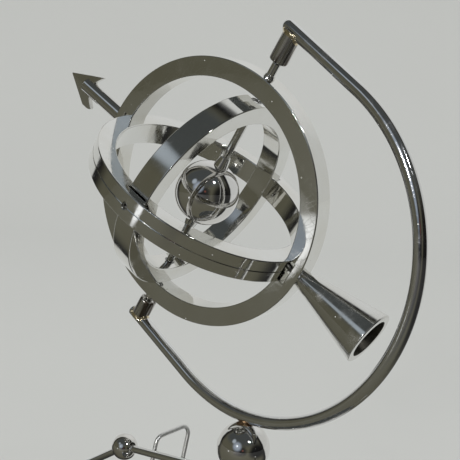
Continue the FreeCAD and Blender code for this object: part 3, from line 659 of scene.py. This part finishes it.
def ballProfile(radius, boreRadius, chamfer):
    # half circle from pole to pole, with a small flat and chamfer where the axle goes in
    first = math.degrees(math.asin(boreRadius / radius))
    ends = math.sqrt(radius ** 2 - boreRadius ** 2) - chamfer
    return np.concatenate([[(0, -ends), (boreRadius - chamfer, -ends)],
                           arcPoints((0, 0), radius, -90 + first, 90 - first, 90),
                           [(boreRadius - chamfer, ends), (0, ends)]])


def axleProfile():
    # journals at both ends, the lower half the mirror image of the upper one
    radius, shoulder, end = pick(rotor, "axleRadius", "shoulder", "journalEnd")
    journal = bushes["journal"]
    upper = [(radius, shoulder, 0.3), (journal, shoulder), (journal, end, 0.25), (0, end)]
    return roundedProfile([(r, -z, *edge) for r, z, *edge in reversed(upper)] + upper)


turnedPiece("centralBall", "rotor", ballLook,
            ballProfile(rotor["ballRadius"], rotor["axleRadius"] + rotor["boreRoom"], rotor["boreEdge"]),
            cageFrame, ["central_ball"], steps=160)
turnedPiece("ballAxle", "rotor", fittingLook, axleProfile(), cageFrame, ["ball_axle"], steps=64)


def axleCollar(side):
    # tapered collar whose foot follows the ball: z = sqrt(R^2 - r^2) at the foot
    radius, root, ball = pick(rotor, "axleRadius", "collarRoot", "ballRadius")
    foot, tip = math.sqrt(ball ** 2 - root ** 2), ball + rotor["collarLength"]
    profile = roundedProfile([(radius, foot - rotor["seat"]), (root, foot - rotor["seat"]),
                              (root, foot + rotor["root"], 0.3), (rotor["collarTip"], tip, 0.35),
                              (radius, tip)])
    turnedPiece("axleCollar" + ends[side].title(), "rotor", fittingLook, profile, endFrame(cageFrame, side),
                ["axle_collars"], steps=96, closed=True)


for side in ends:
    axleCollar(side)
print("stage: ball and axle made")

# Arrow and cone: both lie along the cage's x, the arrow on the negative side

arrow = dict(rodRadius=3.175, root=50.3, nose=75.2, tip=82.9, shoulder=71.2, halfWidth=8.0, barb=66.0,
             flankRise=7.0, flankShare=0.60, shoulderEnd=68.1, barbInset=0.7, notch=69.5, notchHalf=3.7,
             notchRise=0.3, crown=73.2, thickness=2.0, edge=0.35, edgeShare=0.3, bulge=0.15, studRadius=1.25,
             studEnd=41.5, rootFlare=0.25, flareEdge=0.35, flareEnd=0.8, noseStart=1.9, noseAngle=8)


def arrowOutline():
    # (along, across, corner radius) round the head: straight upper side to a narrow barb, and a lower side
    # with a shoulder and a blunt barb
    wide = arrow["halfWidth"]
    return [(arrow["tip"], 0.0, 0.25), (arrow["barb"] + arrow["flankRise"], wide * arrow["flankShare"], 6.0),
            (arrow["barb"], wide, 0.3), (arrow["notch"], arrow["notchHalf"], 0.9),
            (arrow["notch"] + arrow["notchRise"], 0.0), (arrow["notch"], -arrow["notchHalf"], 0.9),
            (arrow["barb"], -wide + arrow["barbInset"], 0.5), (arrow["shoulderEnd"], -wide, 0.9),
            (arrow["shoulder"], -wide, 1.6)]


def arrowHeadPiece():
    # plate: the outline at the two faces drawn in by the edge, and at full size between them; each face
    # bulges a little to its crown
    rim = roundedProfile(arrowOutline(), steps=6)
    crown, thickness, edge = pick(arrow, "crown", "thickness", "edge")
    half = thickness / 2
    inward = rim - np.array([crown, 0.0])
    inward = inward / np.linalg.norm(inward, axis=1)[:, None]
    near = edge * arrow["edgeShare"]
    rows = []
    for height, inset in ((-half, edge), (-half + near, near), (-half + edge, 0.0), (half - edge, 0.0),
                          (half - near, near), (half, edge)):
        ring = rim - inward * inset
        rows.append(np.column_stack([-ring[:, 0], np.full(len(ring), height), ring[:, 1]]))
    crowns = [[-crown, -half - arrow["bulge"], 0], [-crown, half + arrow["bulge"], 0]]
    makePiece("arrowHead", "cage", fittingLook, cappedRows(rows, crowns), cageFrame, ["arrow_head"])


arrowHeadPiece()


def shaftProfile():
    # thin stud, a flared root where the rod leaves the ring, and a domed nose
    stud, studEnd, radius, root = pick(arrow, "studRadius", "studEnd", "rodRadius", "root")
    flare = radius + arrow["rootFlare"]
    rod = roundedProfile([(0, studEnd), (stud, studEnd, 0.25), (stud, root), (flare, root),
                          (flare, root + arrow["flareEdge"], 0.15), (radius, root + arrow["flareEnd"], 0.3),
                          (radius, arrow["nose"] - arrow["noseStart"])])
    return np.concatenate([rod, arcPoints((0, arrow["nose"] - radius), radius, arrow["noseAngle"], 90, 12)])


turnedPiece("arrowShaft", "cage", ("polished_fittings", "barChrome"), shaftProfile(),
            alongAxis(cageFrame, (-1, 0, 0), (0, 0, 1)), ["arrow_shaft"], steps=72)

cone = dict(root=50.3, rootRadius=3.36, reach=82.2, mouth=10.3, bore=7.5, boreEnd=3.0, boreDepth=23.0,
            lip=0.4, rimBack=0.2, rimIn=0.35, drillTip=1.0,
            inwardLeast=0.3, floorLeast=0.5)        # cosines of faces that belong to the bore


def coneProfile():
    # straight flank, rounded rim and a narrowing bore that ends in the drill's tip
    reach, mouth, lip = pick(cone, "reach", "mouth", "lip")
    floor = reach - cone["boreDepth"]
    return roundedProfile([(0, cone["root"]), (cone["rootRadius"], cone["root"]),
                           (mouth, reach - cone["rimBack"], lip), (mouth - cone["rimIn"], reach, 0.2),
                           (cone["bore"], reach, lip), (cone["boreEnd"], floor, 0.8),
                           (0, floor - cone["drillTip"])])


tailCone = turnedPiece("tailCone", "cage", fittingLook, coneProfile(),
                       alongAxis(cageFrame, (1, 0, 0), (0, 0, 1)), ["tail_cone"], steps=160)


def paintBoreShade(piece):
    # second material, a dark rough metal that paints the shade inside the bore, on the faces inside the mouth:
    # their normals point to the cone's axis, or they are the bore's floor
    polygons = piece.data.polygons
    middles, normals = np.empty(len(polygons) * 3), np.empty(len(polygons) * 3)
    polygons.foreach_get("center", middles)
    polygons.foreach_get("normal", normals)
    middles, normals = middles.reshape(-1, 3) / metresPerMm - cageCentre, normals.reshape(-1, 3)
    axis = cageFrame[1][:, 0]
    along = middles @ axis
    radial = middles - along[:, None] * axis
    inward = (normals * radial).sum(axis=1) < -cone["inwardLeast"] * np.linalg.norm(radial, axis=1)
    floor = (normals @ axis > cone["floorLeast"]) & (along < cone["reach"] - cone["boreDepth"] / 2)
    piece.data.materials.append(metals["boreShadeMetal"])
    polygons.foreach_set("material_index", (inward | floor).astype(np.int32))


paintBoreShade(tailCone)
print("stage: arrow and cone made")

# Pivots: heights are distances from the cage's centre along the pivot axis

pivots = dict(pinRadius=1.1, pinRoot=43.9, upperPinEnd=63.6, lowerPinEnd=61.1, upperBush=56.8, lowerBush=54.3,
              bushRadius=3.4, bushRound=0.9, bushBore=1.15, boreDepth=5.0, boreEdge=0.3, bushStraight=2.5,
              coreShare=0.5, coreRise=0.6, coreDrop=1.0, collarRadius=1.9, collarLength=1.3, collarFoot=0.3,
              collarWaist=0.5, collarTaper=0.1, sink=0.05, sleeveRadius=1.62, sleeveGap=0.5, sleeveStep=0.15,
              bead=2.15, filletReach=0.95, filletSeat=0.93, filletSide=1.03)


def pivotPin(side):
    # pin with rounded ends from the outer ring into the bush
    radius, root, end = pick(pivots, "pinRadius", "pinRoot", ends[side] + "PinEnd")
    profile = roundedProfile([(0, root), (radius, root, 0.2), (radius, end, 0.3), (0, end)])
    turnedPiece(ends[side] + "PivotPin", "cage", fittingLook, profile, endFrame(cageFrame, side),
                [ends[side] + "_pivot_pin"], steps=64)


for side in ends:
    pivotPin(side)
ringWall = rings["outer_ring"]["radius"]


def collarProfile():
    # flared collar on the ring and a plain sleeve on the pin above it
    pin, collar, sleeve = pick(pivots, "pinRadius", "collarRadius", "sleeveRadius")
    low, top = ringWall - pivots["sink"], ringWall + pivots["collarLength"]
    sleeveTop = pivots["upperBush"] - pivots["sleeveGap"]
    return roundedProfile([
        (pin, low), (collar + pivots["collarFoot"], low),
        (collar + pivots["collarTaper"], ringWall + pivots["collarWaist"], 0.3), (collar, top, 0.1),
        (sleeve, top + pivots["sleeveStep"], 0.1), (sleeve, sleeveTop, 0.25), (pin, sleeveTop)])


turnedPiece("upperPinCollar", "cage", fittingLook, collarProfile(), cageFrame, ["upper_pin_collar"], steps=64,
            closed=True)


def beadProfile():
    # sphere zone bored for the pin: r = sqrt(b^2 - z^2)
    middle = (ringWall + pivots["lowerBush"]) / 2
    half = (pivots["lowerBush"] - ringWall) / 2 - pivots["sink"]
    heights, pin = np.linspace(-half, half, 25), pivots["pinRadius"]
    outside = np.column_stack([np.sqrt(pivots["bead"] ** 2 - heights ** 2), heights + middle])
    return np.concatenate([outside, [(pin, middle + half), (pin, middle - half)]])


turnedPiece("lowerPinCollar", "cage", ("polished_fittings", "ballChrome"), beadProfile(),
            endFrame(cageFrame, -1), ["lower_pin_collar"], steps=72, closed=True)

yoke = dict(barRadius=2.375, halfHeight=66.6, axisOffset=2.35, armLength=33.8, splay=2.64, endOverhang=5.4,
            cutOverhang=4.5, armSteps=12, arcSteps=150)
splay = math.radians(yoke["splay"])


def yokeCentreLine():
    # arm, arc and arm in the yoke frame's x-z plane; the arc's tangent at each end is the arm's direction
    run, fall = math.cos(splay), math.sin(splay)
    offset, high = yoke["axisOffset"], yoke["halfHeight"]
    radius = (high - yoke["armLength"] * fall) / run
    middleX = yoke["armLength"] * run - radius * fall
    angles = np.linspace(math.pi / 2 - splay, -math.pi / 2 + splay, yoke["arcSteps"])
    arc = np.column_stack([middleX + radius * np.cos(angles), 0 * angles, offset + radius * np.sin(angles)])
    arcTangents = np.column_stack([np.sin(angles), 0 * angles, -np.cos(angles)])
    upperReach = yoke["endOverhang"] - domeCap[-1][0] * yoke["barRadius"]
    lowerReach = yoke["cutOverhang"] - cutCap[-1][0] * yoke["barRadius"]
    upper = np.array([-upperReach * run, 0, offset + high + upperReach * fall])
    lower = np.array([-lowerReach * run, 0, offset - high - lowerReach * fall])
    shares = np.linspace(0, 1, yoke["armSteps"])[:, None]
    path = np.concatenate([upper + (arc[0] - upper) * shares[:-1], arc,
                           arc[-1] + (lower - arc[-1]) * shares[1:]])
    arms = [np.tile([way, 0, -fall], (yoke["armSteps"] - 1, 1)) for way in (run, -run)]
    return path, np.concatenate([arms[0], arcTangents, arms[1]])


makePiece("yokeRod", "head", barLook,
          sweptBar(*yokeCentreLine(), sideAxis, yoke["barRadius"], 64, domeCap, cutCap), yokeFrame,
          ["yoke_rod"])


def armSeat(x, y, side):
    # height of the arm's near flank above a point: the arm's centre line, less sqrt(bar radius^2 - y^2)
    centreLine = yoke["halfHeight"] + side * yoke["axisOffset"] - x * math.tan(splay)
    return centreLine - np.sqrt(np.maximum(yoke["barRadius"] ** 2 - y ** 2, 0.0))


def bushPiece(side):
    # turned bush with a rounded lower edge and a bore; its top row follows the round bar
    angles = evenAngles(96)
    radius, bore, end = pick(pivots, "bushRadius", "bushBore", ends[side] + "Bush")
    lower = roundedProfile([(bore, end + pivots["boreDepth"]), (bore, end + pivots["boreEdge"]),
                            (bore + pivots["boreEdge"], end), (radius, end, pivots["bushRound"]),
                            (radius, end + pivots["bushStraight"])])
    rows = [around(r, z, angles) for r, z in lower]
    for across, sink in ((radius, 0.0), (radius * pivots["coreShare"], pivots["coreRise"])):
        x, y = across * np.cos(angles), across * np.sin(angles)
        rows.append(np.column_stack([x, y, armSeat(x, y, side) + sink]))
    top = yoke["halfHeight"] + side * yoke["axisOffset"] - pivots["coreDrop"]
    shape = cappedRows(rows, [[0, 0, end + pivots["boreDepth"]], [0, 0, top]])
    # the bush's colour carries painted reflection streaks
    makePiece(ends[side] + "Bushing", "head", ("polished_fittings", "paintedReflectionMetal"), shape,
              endFrame(yokeFrame, side), [ends[side] + "_bushing"])


# the fillet's section: (outward from the bush, down from the bar), as shares of its reach
filletSection = ((-0.25, 0.9), (0.02, 1.0), (0.12, 0.45), (0.42, 0.12), (0.72, -0.12), (0.2, -0.6),
                 (-0.3, 0.0))


def bushFillet(side):
    # bead of braze where bush meets bar: a thin ring whose lower edge lies on the bush and whose upper edge
    # lies on the bar, kept within the bush's width and the bar's flank
    angles, reach = evenAngles(96), pivots["filletReach"]
    flank, widest = yoke["barRadius"] * pivots["filletSeat"], pivots["bushRadius"] * pivots["filletSide"]
    rows = []
    for outward, drop in filletSection:
        radius = pivots["bushRadius"] + outward * reach
        x, y = radius * np.cos(angles), radius * np.sin(angles)
        height = armSeat(x, np.clip(y, -flank, flank), side) - drop * reach
        rows.append(np.column_stack([x, np.clip(y, -widest, widest), height]))
    makePiece(ends[side] + "BushFillet", "head", ("polished_fittings", "brazeGold"), closedRows(rows),
              endFrame(yokeFrame, side), sharpAngle=beadAngle)


for makeEnd in (bushPiece, bushFillet):
    for side in ends:
        makeEnd(side)
print("stage: yoke and pivots made")

# Big ball, bar with small balls, hub

head = dict(ballRadius=9.8, ballHeight=60.0, ballBore=1.0, ballEdge=0.05, barRadius=1.525, barDrop=11.5,
            barDroop=7.6, ballReach=66.0, smallBall=5.5, outerSlope=32.0, outerLength=37.5, endBall=2.99,
            endSeat=2.0, middleBend=40.0, outerBend=12.0, boreRoom=0.15, boreEdge=0.12)
droop, slope = math.radians(head["barDroop"]), math.radians(head["outerSlope"])
barZ = head["ballHeight"] - head["barDrop"]
smallBallZ = barZ - head["ballReach"] * math.tan(droop)
barEnd = np.array([head["ballReach"] + head["outerLength"] * math.cos(slope), 0,
                   smallBallZ - head["outerLength"] * math.sin(slope)])
corner = np.array([head["ballReach"], 0, smallBallZ])
leftward = np.array([-1, 1, 1])
bowLine = joinedRuns([barEnd * leftward, corner * leftward, (0, 0, barZ), corner, barEnd],
                     [head["outerBend"], head["middleBend"], head["outerBend"]])
makePiece("bowBar", "head", barLook,
          sweptBar(*bowLine, sideAxis, head["barRadius"], 48, cutCap, cutCap), standFrame, ["bow_bar"])


def ballOn(name, side, x, z, tilt, radius, node):
    # ball threaded on the bar: its pole flats face along the bar, which falls outward by the tilt
    basis = alongAxis(standFrame, (side * math.cos(tilt), 0, -math.sin(tilt)), (0, 1, 0))[1]
    profile = ballProfile(radius, head["barRadius"] + head["boreRoom"], head["boreEdge"])
    turnedPiece(name, "head", ballLook, profile, (np.array([side * x, 0, z]), basis), [node])


for side, word in ((-1, "left"), (1, "right")):
    ballOn("bowBall" + word.title(), side, head["ballReach"], smallBallZ, (droop + slope) / 2,
           head["smallBall"], "bow_ball_" + word)
    beyond = head["endBall"] - head["endSeat"]
    ballOn("bowEnd" + word.title(), side, barEnd[0] + beyond * math.cos(slope),
           barEnd[2] - beyond * math.sin(slope), slope, head["endBall"], "bow_end_" + word)
turnedPiece("pedestalBall", "head", ballLook,
            ballProfile(head["ballRadius"], head["ballBore"], head["ballEdge"]),
            (np.array([0, 0, head["ballHeight"]]), np.eye(3)), ["pedestal_ball"], steps=160)

# the bead's section: (distance from the axis, rise above the ball's top), None is a row on the ball
braze = dict(section=((1.2, -0.8), (3.35, None), (2.8, 0.12), (2.25, 0.45), (1.9, 0.9), (1.65, 1.3),
                      (1.0, 1.3)), topDrop=0.35, sink=0.02, lowShare=0.35,
             waves=((0.05, 3, 0.6), (0.03, 7, 0.0)))        # of the rim: share, count round it, start


def brazeBead():
    # fillet between yoke and big ball: rows from the ball's surface up to the bar's flank, with an uneven
    # rim; the rise grows from its low share along the bar to the whole beside it
    angles = evenAngles(96)
    uneven = 1 + sum(share * np.sin(count * angles + start) for share, count, start in braze["waves"])
    spread = braze["lowShare"] + (1 - braze["lowShare"]) * np.abs(np.sin(angles))
    rows = []
    for reach, rise in braze["section"]:
        radius = reach * uneven
        if rise is None:
            z = head["ballHeight"] + np.sqrt(head["ballRadius"] ** 2 - radius ** 2) - braze["sink"]
        else:
            z = head["ballHeight"] + head["ballRadius"] - braze["topDrop"] + rise * spread
        rows.append(around(radius, z, angles))
    makePiece("yokeBraze", "head", ("braze", "brazeMetal"), closedRows(rows), standFrame, ["yoke_braze"],
              sharpAngle=beadAngle)


brazeBead()
hub = dict(radius=5.25, bore=2.1, foot=34.3, boreTop=42.5, waistFoot=38.05, waistTop=43.05, waist=0.9,
           top=51.75, rim=0.7, seatRadius=3.0, seat=50.5)


def hubProfile():
    # bored boss with a waist and a rim round the ball's seat
    radius, bore, foot, top, waist = pick(hub, "radius", "bore", "foot", "top", "waist")
    low, high, narrow = hub["waistFoot"], hub["waistTop"], radius - waist
    return roundedProfile([(bore, hub["boreTop"]), (bore, foot), (radius, foot, 0.8), (radius, low, 0.3),
                           (narrow, low + waist, 0.5), (narrow, high - waist, 0.5), (radius, high, 0.3),
                           (radius, top, 0.35), (radius - hub["rim"], top), (hub["seatRadius"], hub["seat"])])


turnedPiece("hubCollar", "head", standLook, hubProfile(), standFrame, ["hub_collar"], closed=True)
print("stage: head made")

# Foot, column and wire stop

foot = dict(radius=60.0, underside=1.5, height=12.5, crown=1.5, edge=3.5, bevel=0.5, padRadius=56.0,
            screwHole=5.0, screwDepth=4.2)


def footTop(radius):
    # domed top: height + crown * (1 - (r / R)^2)
    return foot["height"] + foot["crown"] * (1 - (radius / (foot["radius"] - foot["edge"])) ** 2)


column = dict(flangeRadius=12.0, flangeEdge=1.5, flangeBevel=1.5, flangeHeight=3.0, flareRadius=6.0,
              flareRise=0.99, waistRadius=4.0, waistRise=3.97, topRadius=5.5, topBead=2.4, beadMiddle=1.2,
              beadEdge=0.4, top=33.5)


def footProfile():
    # screw hole from below, bevelled rim, quarter-round edge and domed top
    radius, low, edge, hole = pick(foot, "radius", "underside", "edge", "screwHole")
    screwTop, edgeZ = low + foot["screwDepth"], foot["height"] - edge
    dome = np.linspace(radius - edge, column["flangeRadius"], 40)
    return np.concatenate([
        [(0, screwTop), (hole, screwTop)],
        roundedProfile([(hole, low), (radius, low, foot["bevel"]), (radius, edgeZ)])[:-1],
        arcPoints((radius - edge, edgeZ), edge, 0, 90, 16),
        np.column_stack([dome, footTop(dome)])[1:],
        [(0, footTop(column["flangeRadius"]))],
    ])


turnedPiece("baseDisc", "stand", ("polished_foot", "footChrome"), footProfile(), standFrame, ["base_disc"],
            steps=240)
padProfile = roundedProfile([(0, 0), (foot["padRadius"], 0, 0.4), (foot["padRadius"], foot["underside"], 0.3),
                             (0, foot["underside"])])
turnedPiece("basePad", "stand", ("foot_pad", "padRubber"), padProfile, standFrame, ["base_pad"], steps=160)


def columnProfile():
    # flange, hollow flare up to the waist, and a bead at the top
    flange, waist, top = pick(column, "flangeRadius", "waistRadius", "top")
    flangeZ = footTop(flange)
    flangeTop, bevelled = flangeZ + column["flangeHeight"], flange - column["flangeBevel"]
    return np.concatenate([
        roundedProfile([(0, flangeZ), (flange, flangeZ), (flange, flangeZ + column["flangeEdge"], 0.4),
                        (bevelled, flangeTop)]),
        arcThrough((bevelled, flangeTop), (column["flareRadius"], flangeTop + column["flareRise"]),
                   (waist, flangeTop + column["waistRise"]), 20)[1:],
        arcThrough((waist, top - column["topBead"]), (column["topRadius"], top - column["beadMiddle"]),
                   (column["topRadius"] - column["beadEdge"], top), 16),
        [(0, top)],
    ])


turnedPiece("column", "stand", standLook, columnProfile(), standFrame, ["column"])
washer = dict(bore=2.05, radius=4.75, foot=33.52, top=34.28, edge=0.15)


def washerProfile():
    # flat ring with its outer edges rounded
    bore, radius, low, high, edge = washer.values()
    return roundedProfile([(bore, low), (radius, low, edge), (radius, high, edge), (bore, high)])


turnedPiece("thrustWasher", "stand", ("brass_washer", "brassWasher"), washerProfile(), standFrame,
            ["thrust_washer"], steps=96, closed=True)

stop = dict(radius=0.9, bend=3.6, distance=50.5, width=18.8, rise=1.8, drop=12.3, lean=12.0, seat=5.0,
            clearance=0.3)


def stopPiece():
    # inverted U of wire with leaning legs, in a plane of equal x, just behind the bar's left arm
    tilt = math.tan(math.radians(stop["lean"]))
    x, nearZ = -stop["distance"], head["ballHeight"] - stop["drop"]
    crossingZ = barZ - stop["distance"] * math.tan(droop)
    nearY = head["barRadius"] + stop["radius"] + stop["clearance"] + tilt * (nearZ - crossingZ)
    farY, farZ = nearY + stop["width"], nearZ + stop["rise"]
    footZ = footTop(stop["distance"]) - stop["seat"]
    corners = [(x, nearY - tilt * (nearZ - footZ), footZ), (x, nearY, nearZ), (x, farY, farZ),
               (x, farY - tilt * (farZ - footZ), footZ)]
    path, tangents = joinedRuns(corners, [stop["bend"]] * 2, step=0.6)
    shape = sweptBar(path, tangents, np.array([1.0, 0.0, 0.0]), stop["radius"], 32, cutCap, cutCap)
    makePiece("wireStop", "stand", ("stop_wire", "stopWire"), shape, standFrame, ["wire_stop"])


stopPiece()
for node in ("column_screw", "spindle", "cone_stud"):
    dress(frame["nodes"][node], "steelHardware")
print("stage: stand made")

# Room and light: directions are in the row frame, sizes in metres

cameraView = dict(place=(0.19249, -0.22362, 0.17314), azimuth=42.73, pitch=-6.45, roll=3.92, lens=65.21,
                  sensor=36.0, nearest=0.01, farthest=20)
room = dict(
    pale=(0.565, 0.575, 0.555),         # sheet and far side
    black=(0.012, 0.012, 0.012),        # dark edge beside the sheet
    dim=(0.100, 0.097, 0.070),          # the viewer's side
    overhead=(0.060, 0.066, 0.066),     # above the viewer
    deep=(0.020, 0.020, 0.021),         # right behind the viewer
    fill=(0.66, 0.66, 0.655),           # light on matt surfaces from all round
    dimSide=(0.463, -0.882, -0.05),     # direction of the dim side; the edges are cosines to it
    blackEdge=(-0.38, -0.31), dimEdge=(-0.27, 0.02), deepEdge=(0.80, 0.98),
    overheadRise=(0.25, 0.65), overheadEdge=(-0.2, 0.1),
    swayScale=2.4, swayDetail=2.0, sway=0.24,       # slow noise that moves the borders
    middle=(-0.02, 0.0, 0.13),          # from where the sheet's directions are taken
    sheetRough=0.9,
    sheetGlow=0.6,                      # share of the sheet's paleness that doesn't depend on light
    mottle=0.015, mottleScale=2.5, mottleDetail=4.0,        # uneven paleness of the sheet
)
sunDirection = (0.1998, -0.9181, 0.3423)
# soft bright places of the room that mirrors see: direction, and angles at which they are full and gone
glows = {
    "sunHaze": dict(direction=sunDirection, full=5, gone=24, colour=(0.32, 0.37, 0.44)),
    "highWall": dict(direction=(-0.26, 0.69, 0.675), full=10, gone=38, colour=(0.69, 0.70, 0.69)),
    "lowSheet": dict(direction=(-0.336, -0.904, -0.258), full=1.6, gone=3.8, colour=(1.0, 1.02, 1.03)),
    "skyPatch": dict(direction=(-0.16, -0.80, 0.58), full=3, gone=11, colour=(0.37, 0.42, 0.47)),
    "darkSide": dict(direction=(0.974, 0.198, -0.109), full=20, gone=44, colour=(0.010, 0.010, 0.010)),
    "warmSpot": dict(direction=(0.62, -0.77, 0.12), full=1.0, gone=5.0, colour=(0.16, 0.06, 0.045)),
}


def makeCamera():
    # forward = (-sin a cos p, cos a cos p, sin p); right and up are turned about it by the roll
    a, p, roll = np.radians(pick(cameraView, "azimuth", "pitch", "roll"))
    forward = Vector((-math.sin(a) * math.cos(p), math.cos(a) * math.cos(p), math.sin(p)))
    level = Vector((math.cos(a), math.sin(a), 0))
    upright = level.cross(forward)
    right = level * math.cos(roll) + upright * math.sin(roll)
    up = upright * math.cos(roll) - level * math.sin(roll)
    turn = Matrix((right, up, -forward)).transposed()
    data = bpy.data.cameras.new("camera")
    data.sensor_width = cameraView["sensor"]
    data.lens = cameraView["lens"]
    data.clip_start, data.clip_end = cameraView["nearest"], cameraView["farthest"]
    camera = bpy.data.objects.new("camera", data)
    camera.matrix_world = Matrix.Translation(cameraView["place"]) @ turn.to_4x4()
    bpy.context.scene.collection.objects.link(camera)
    bpy.context.scene.camera = camera


def softStep(tree, source, low, high):
    # 0 at low, 1 at high, with soft ends
    return rangeNode(tree, source, low, high, curve="SMOOTHSTEP")


def seenRays(tree):
    # 1 for what the camera, a mirror or glass shows, 0 for light on matt surfaces
    path = makeNode(tree, "ShaderNodeLightPath", {})
    seen = mathNode(tree, "MAXIMUM", path.outputs["Is Camera Ray"], path.outputs["Is Glossy Ray"])
    return path, mathNode(tree, "MAXIMUM", seen, path.outputs["Is Transmission Ray"])


def mirrorRoom(tree, direction):
    # what a mirror sees in a direction: the pale far side, a black edge, the dim viewer's side, darker behind
    # and above the viewer, and the soft bright places; slow noise moves the borders
    inputs = {"Vector": direction, "Scale": room["swayScale"], "Detail": room["swayDetail"]}
    shapes = makeNode(tree, "ShaderNodeTexNoise", inputs)
    sway = mathNode(tree, "MULTIPLY", mathNode(tree, "SUBTRACT", shapes.outputs["Fac"], 0.5), room["sway"])
    side = mathNode(tree, "ADD", dotNode(tree, direction, room["dimSide"]), sway)
    height = dotNode(tree, direction, (0, 0, 1))
    colour = mixNode(tree, softStep(tree, side, *room["blackEdge"]), room["pale"], room["black"])
    colour = mixNode(tree, softStep(tree, side, *room["dimEdge"]), colour, room["dim"])
    above = mathNode(tree, "MULTIPLY", softStep(tree, height, *room["overheadRise"]),
                     softStep(tree, side, *room["overheadEdge"]))
    colour = mixNode(tree, above, colour, room["overhead"])
    colour = mixNode(tree, softStep(tree, side, *room["deepEdge"]), colour, room["deep"])
    for glow in glows.values():
        gone, full = np.cos(np.radians(pick(glow, "gone", "full")))
        share = softStep(tree, dotNode(tree, direction, glow["direction"]), gone, full)
        colour = mixNode(tree, share, colour, glow["colour"])
    return colour


def sheetMaterial():
    # pale sheet: part glow, part lit, so that it keeps the shadow; mirrors see it as part of the room, by the
    # direction from the object's middle
    pale = room["pale"]
    material, tree, surface = newMaterial("paleSheet", pale, 0.0, room["sheetRough"])
    inputs = {0: objectPoint(tree), 1: room["middle"]}
    away = makeNode(tree, "ShaderNodeVectorMath", inputs, operation="SUBTRACT")
    direction = makeNode(tree, "ShaderNodeVectorMath", {0: away.outputs["Vector"]}, operation="NORMALIZE")
    path, seen = seenRays(tree)
    mirrored = path.outputs["Is Glossy Ray"]
    darker, lighter = (tuple(part * (1 + way * room["mottle"]) for part in pale) for way in (-1, 1))
    paper = mixNode(tree, noiseNode(tree, room["mottleScale"], room["mottleDetail"]), darker, lighter)
    colour = mixNode(tree, mirrored, paper, mirrorRoom(tree, direction.outputs["Vector"]))
    glow = mixNode(tree, mirrored, (room["sheetGlow"],) * 3, (1.0, 1.0, 1.0))
    glow = mathNode(tree, "MULTIPLY", seen, glow)
    feed(tree, surface, {"Base Color": mixNode(tree, glow, colour, (0, 0, 0)), "Emission Color": colour,
                         "Emission Strength": glow})
    return material


# metres along the line of view: the floor's near end, its rows, where it starts to rise, and the wall
sheetSize = dict(floorRows=(-2.2, -1.0, 0.0, 0.5), farReach=1.0, curve=0.6, wallRise=1.3, halfWidth=2.6)


def backdrop():
    # floor that curves up into a wall behind the object: rows along the line of view, an arc of the given
    # radius, then straight up; columns square to it
    angle = math.radians(cameraView["azimuth"])
    away = np.array([-math.sin(angle), math.cos(angle), 0])
    across = np.array([math.cos(angle), math.sin(angle), 0])
    floorRows, farReach, curve = pick(sheetSize, "floorRows", "farReach", "curve")
    bend = np.radians(np.linspace(0, 90, 33))
    distance = np.concatenate([floorRows, farReach + curve * np.sin(bend), [farReach + curve]])
    height = np.concatenate([[0.0] * len(floorRows), curve * (1 - np.cos(bend)),
                             [curve + sheetSize["wallRise"]]])
    sides = np.linspace(-sheetSize["halfWidth"], sheetSize["halfWidth"], 5)
    points = (distance[:, None, None] * away + sides[None, :, None] * across
              + height[:, None, None] * np.array([0, 0, 1.0])).reshape(-1, 3)
    columns = len(sides)
    start = (np.arange(len(distance) - 1)[:, None] * columns + np.arange(columns - 1)).ravel()
    sheet = linkedObject("backdrop", points,
                         np.stack([start, start + 1, start + columns + 1, start + columns], axis=1))
    sheet.data.shade_smooth()
    sheet.data.materials.append(sheetMaterial())


makeCamera()
backdrop()

# the two soft lamps light the sheet and matt pieces; the two small ones are the bright points in the metal
lamps = {
    "keyLamp": dict(direction=sunDirection, size=0.45, power=11.0, colour=(1.0, 0.985, 0.95), onMetal=False),
    "topLamp": dict(direction=(0.465, 0.110, 0.878), size=0.6, power=8.0, colour=(1.0, 1.0, 1.0),
                    onMetal=False),
    "sunGlint": dict(direction=sunDirection, size=0.07, power=20.0, colour=(1.0, 0.99, 0.96), onMetal=True),
    "skyGlint": dict(direction=(0.7313, -0.2209, 0.6453), size=0.09, power=7.0, colour=(0.96, 0.98, 1.0),
                     onMetal=True),
}
lampTarget, lampDistance = Vector((-0.02, 0.0, 0.14)), 1.9


def makeLamp(name):
    # round area lamp that faces the middle of the object
    lamp = lamps[name]
    data = bpy.data.lights.new(name, "AREA")
    data.shape = "DISK"
    data.size = lamp["size"]
    data.energy = lamp["power"]
    data.color = lamp["colour"]
    light = bpy.data.objects.new(name, data)
    light.visible_glossy = lamp["onMetal"]
    light.visible_diffuse = not lamp["onMetal"]
    toward = Vector(lamp["direction"]).normalized()
    spot = lampTarget + toward * lampDistance
    light.matrix_world = Matrix.Translation(spot) @ toward.to_track_quat("Z", "Y").to_matrix().to_4x4()
    bpy.context.scene.collection.objects.link(light)


for name in lamps:
    makeLamp(name)


def makeWorld():
    # plain pale to the camera, the room's picture to mirrors, and an even light on matt surfaces
    world = bpy.data.worlds.new("room")
    world.use_nodes = True
    bpy.context.scene.world = world
    tree = world.node_tree
    direction = makeNode(tree, "ShaderNodeTexCoord", {}).outputs["Generated"]
    path, seen = seenRays(tree)
    colour = mixNode(tree, seen, room["fill"], mirrorRoom(tree, direction))
    colour = mixNode(tree, path.outputs["Is Camera Ray"], colour, room["pale"])
    feed(tree, tree.nodes["Background"], {"Color": colour})


makeWorld()
bpy.context.scene.view_settings.view_transform = "Standard"
print("stage: room and light made")
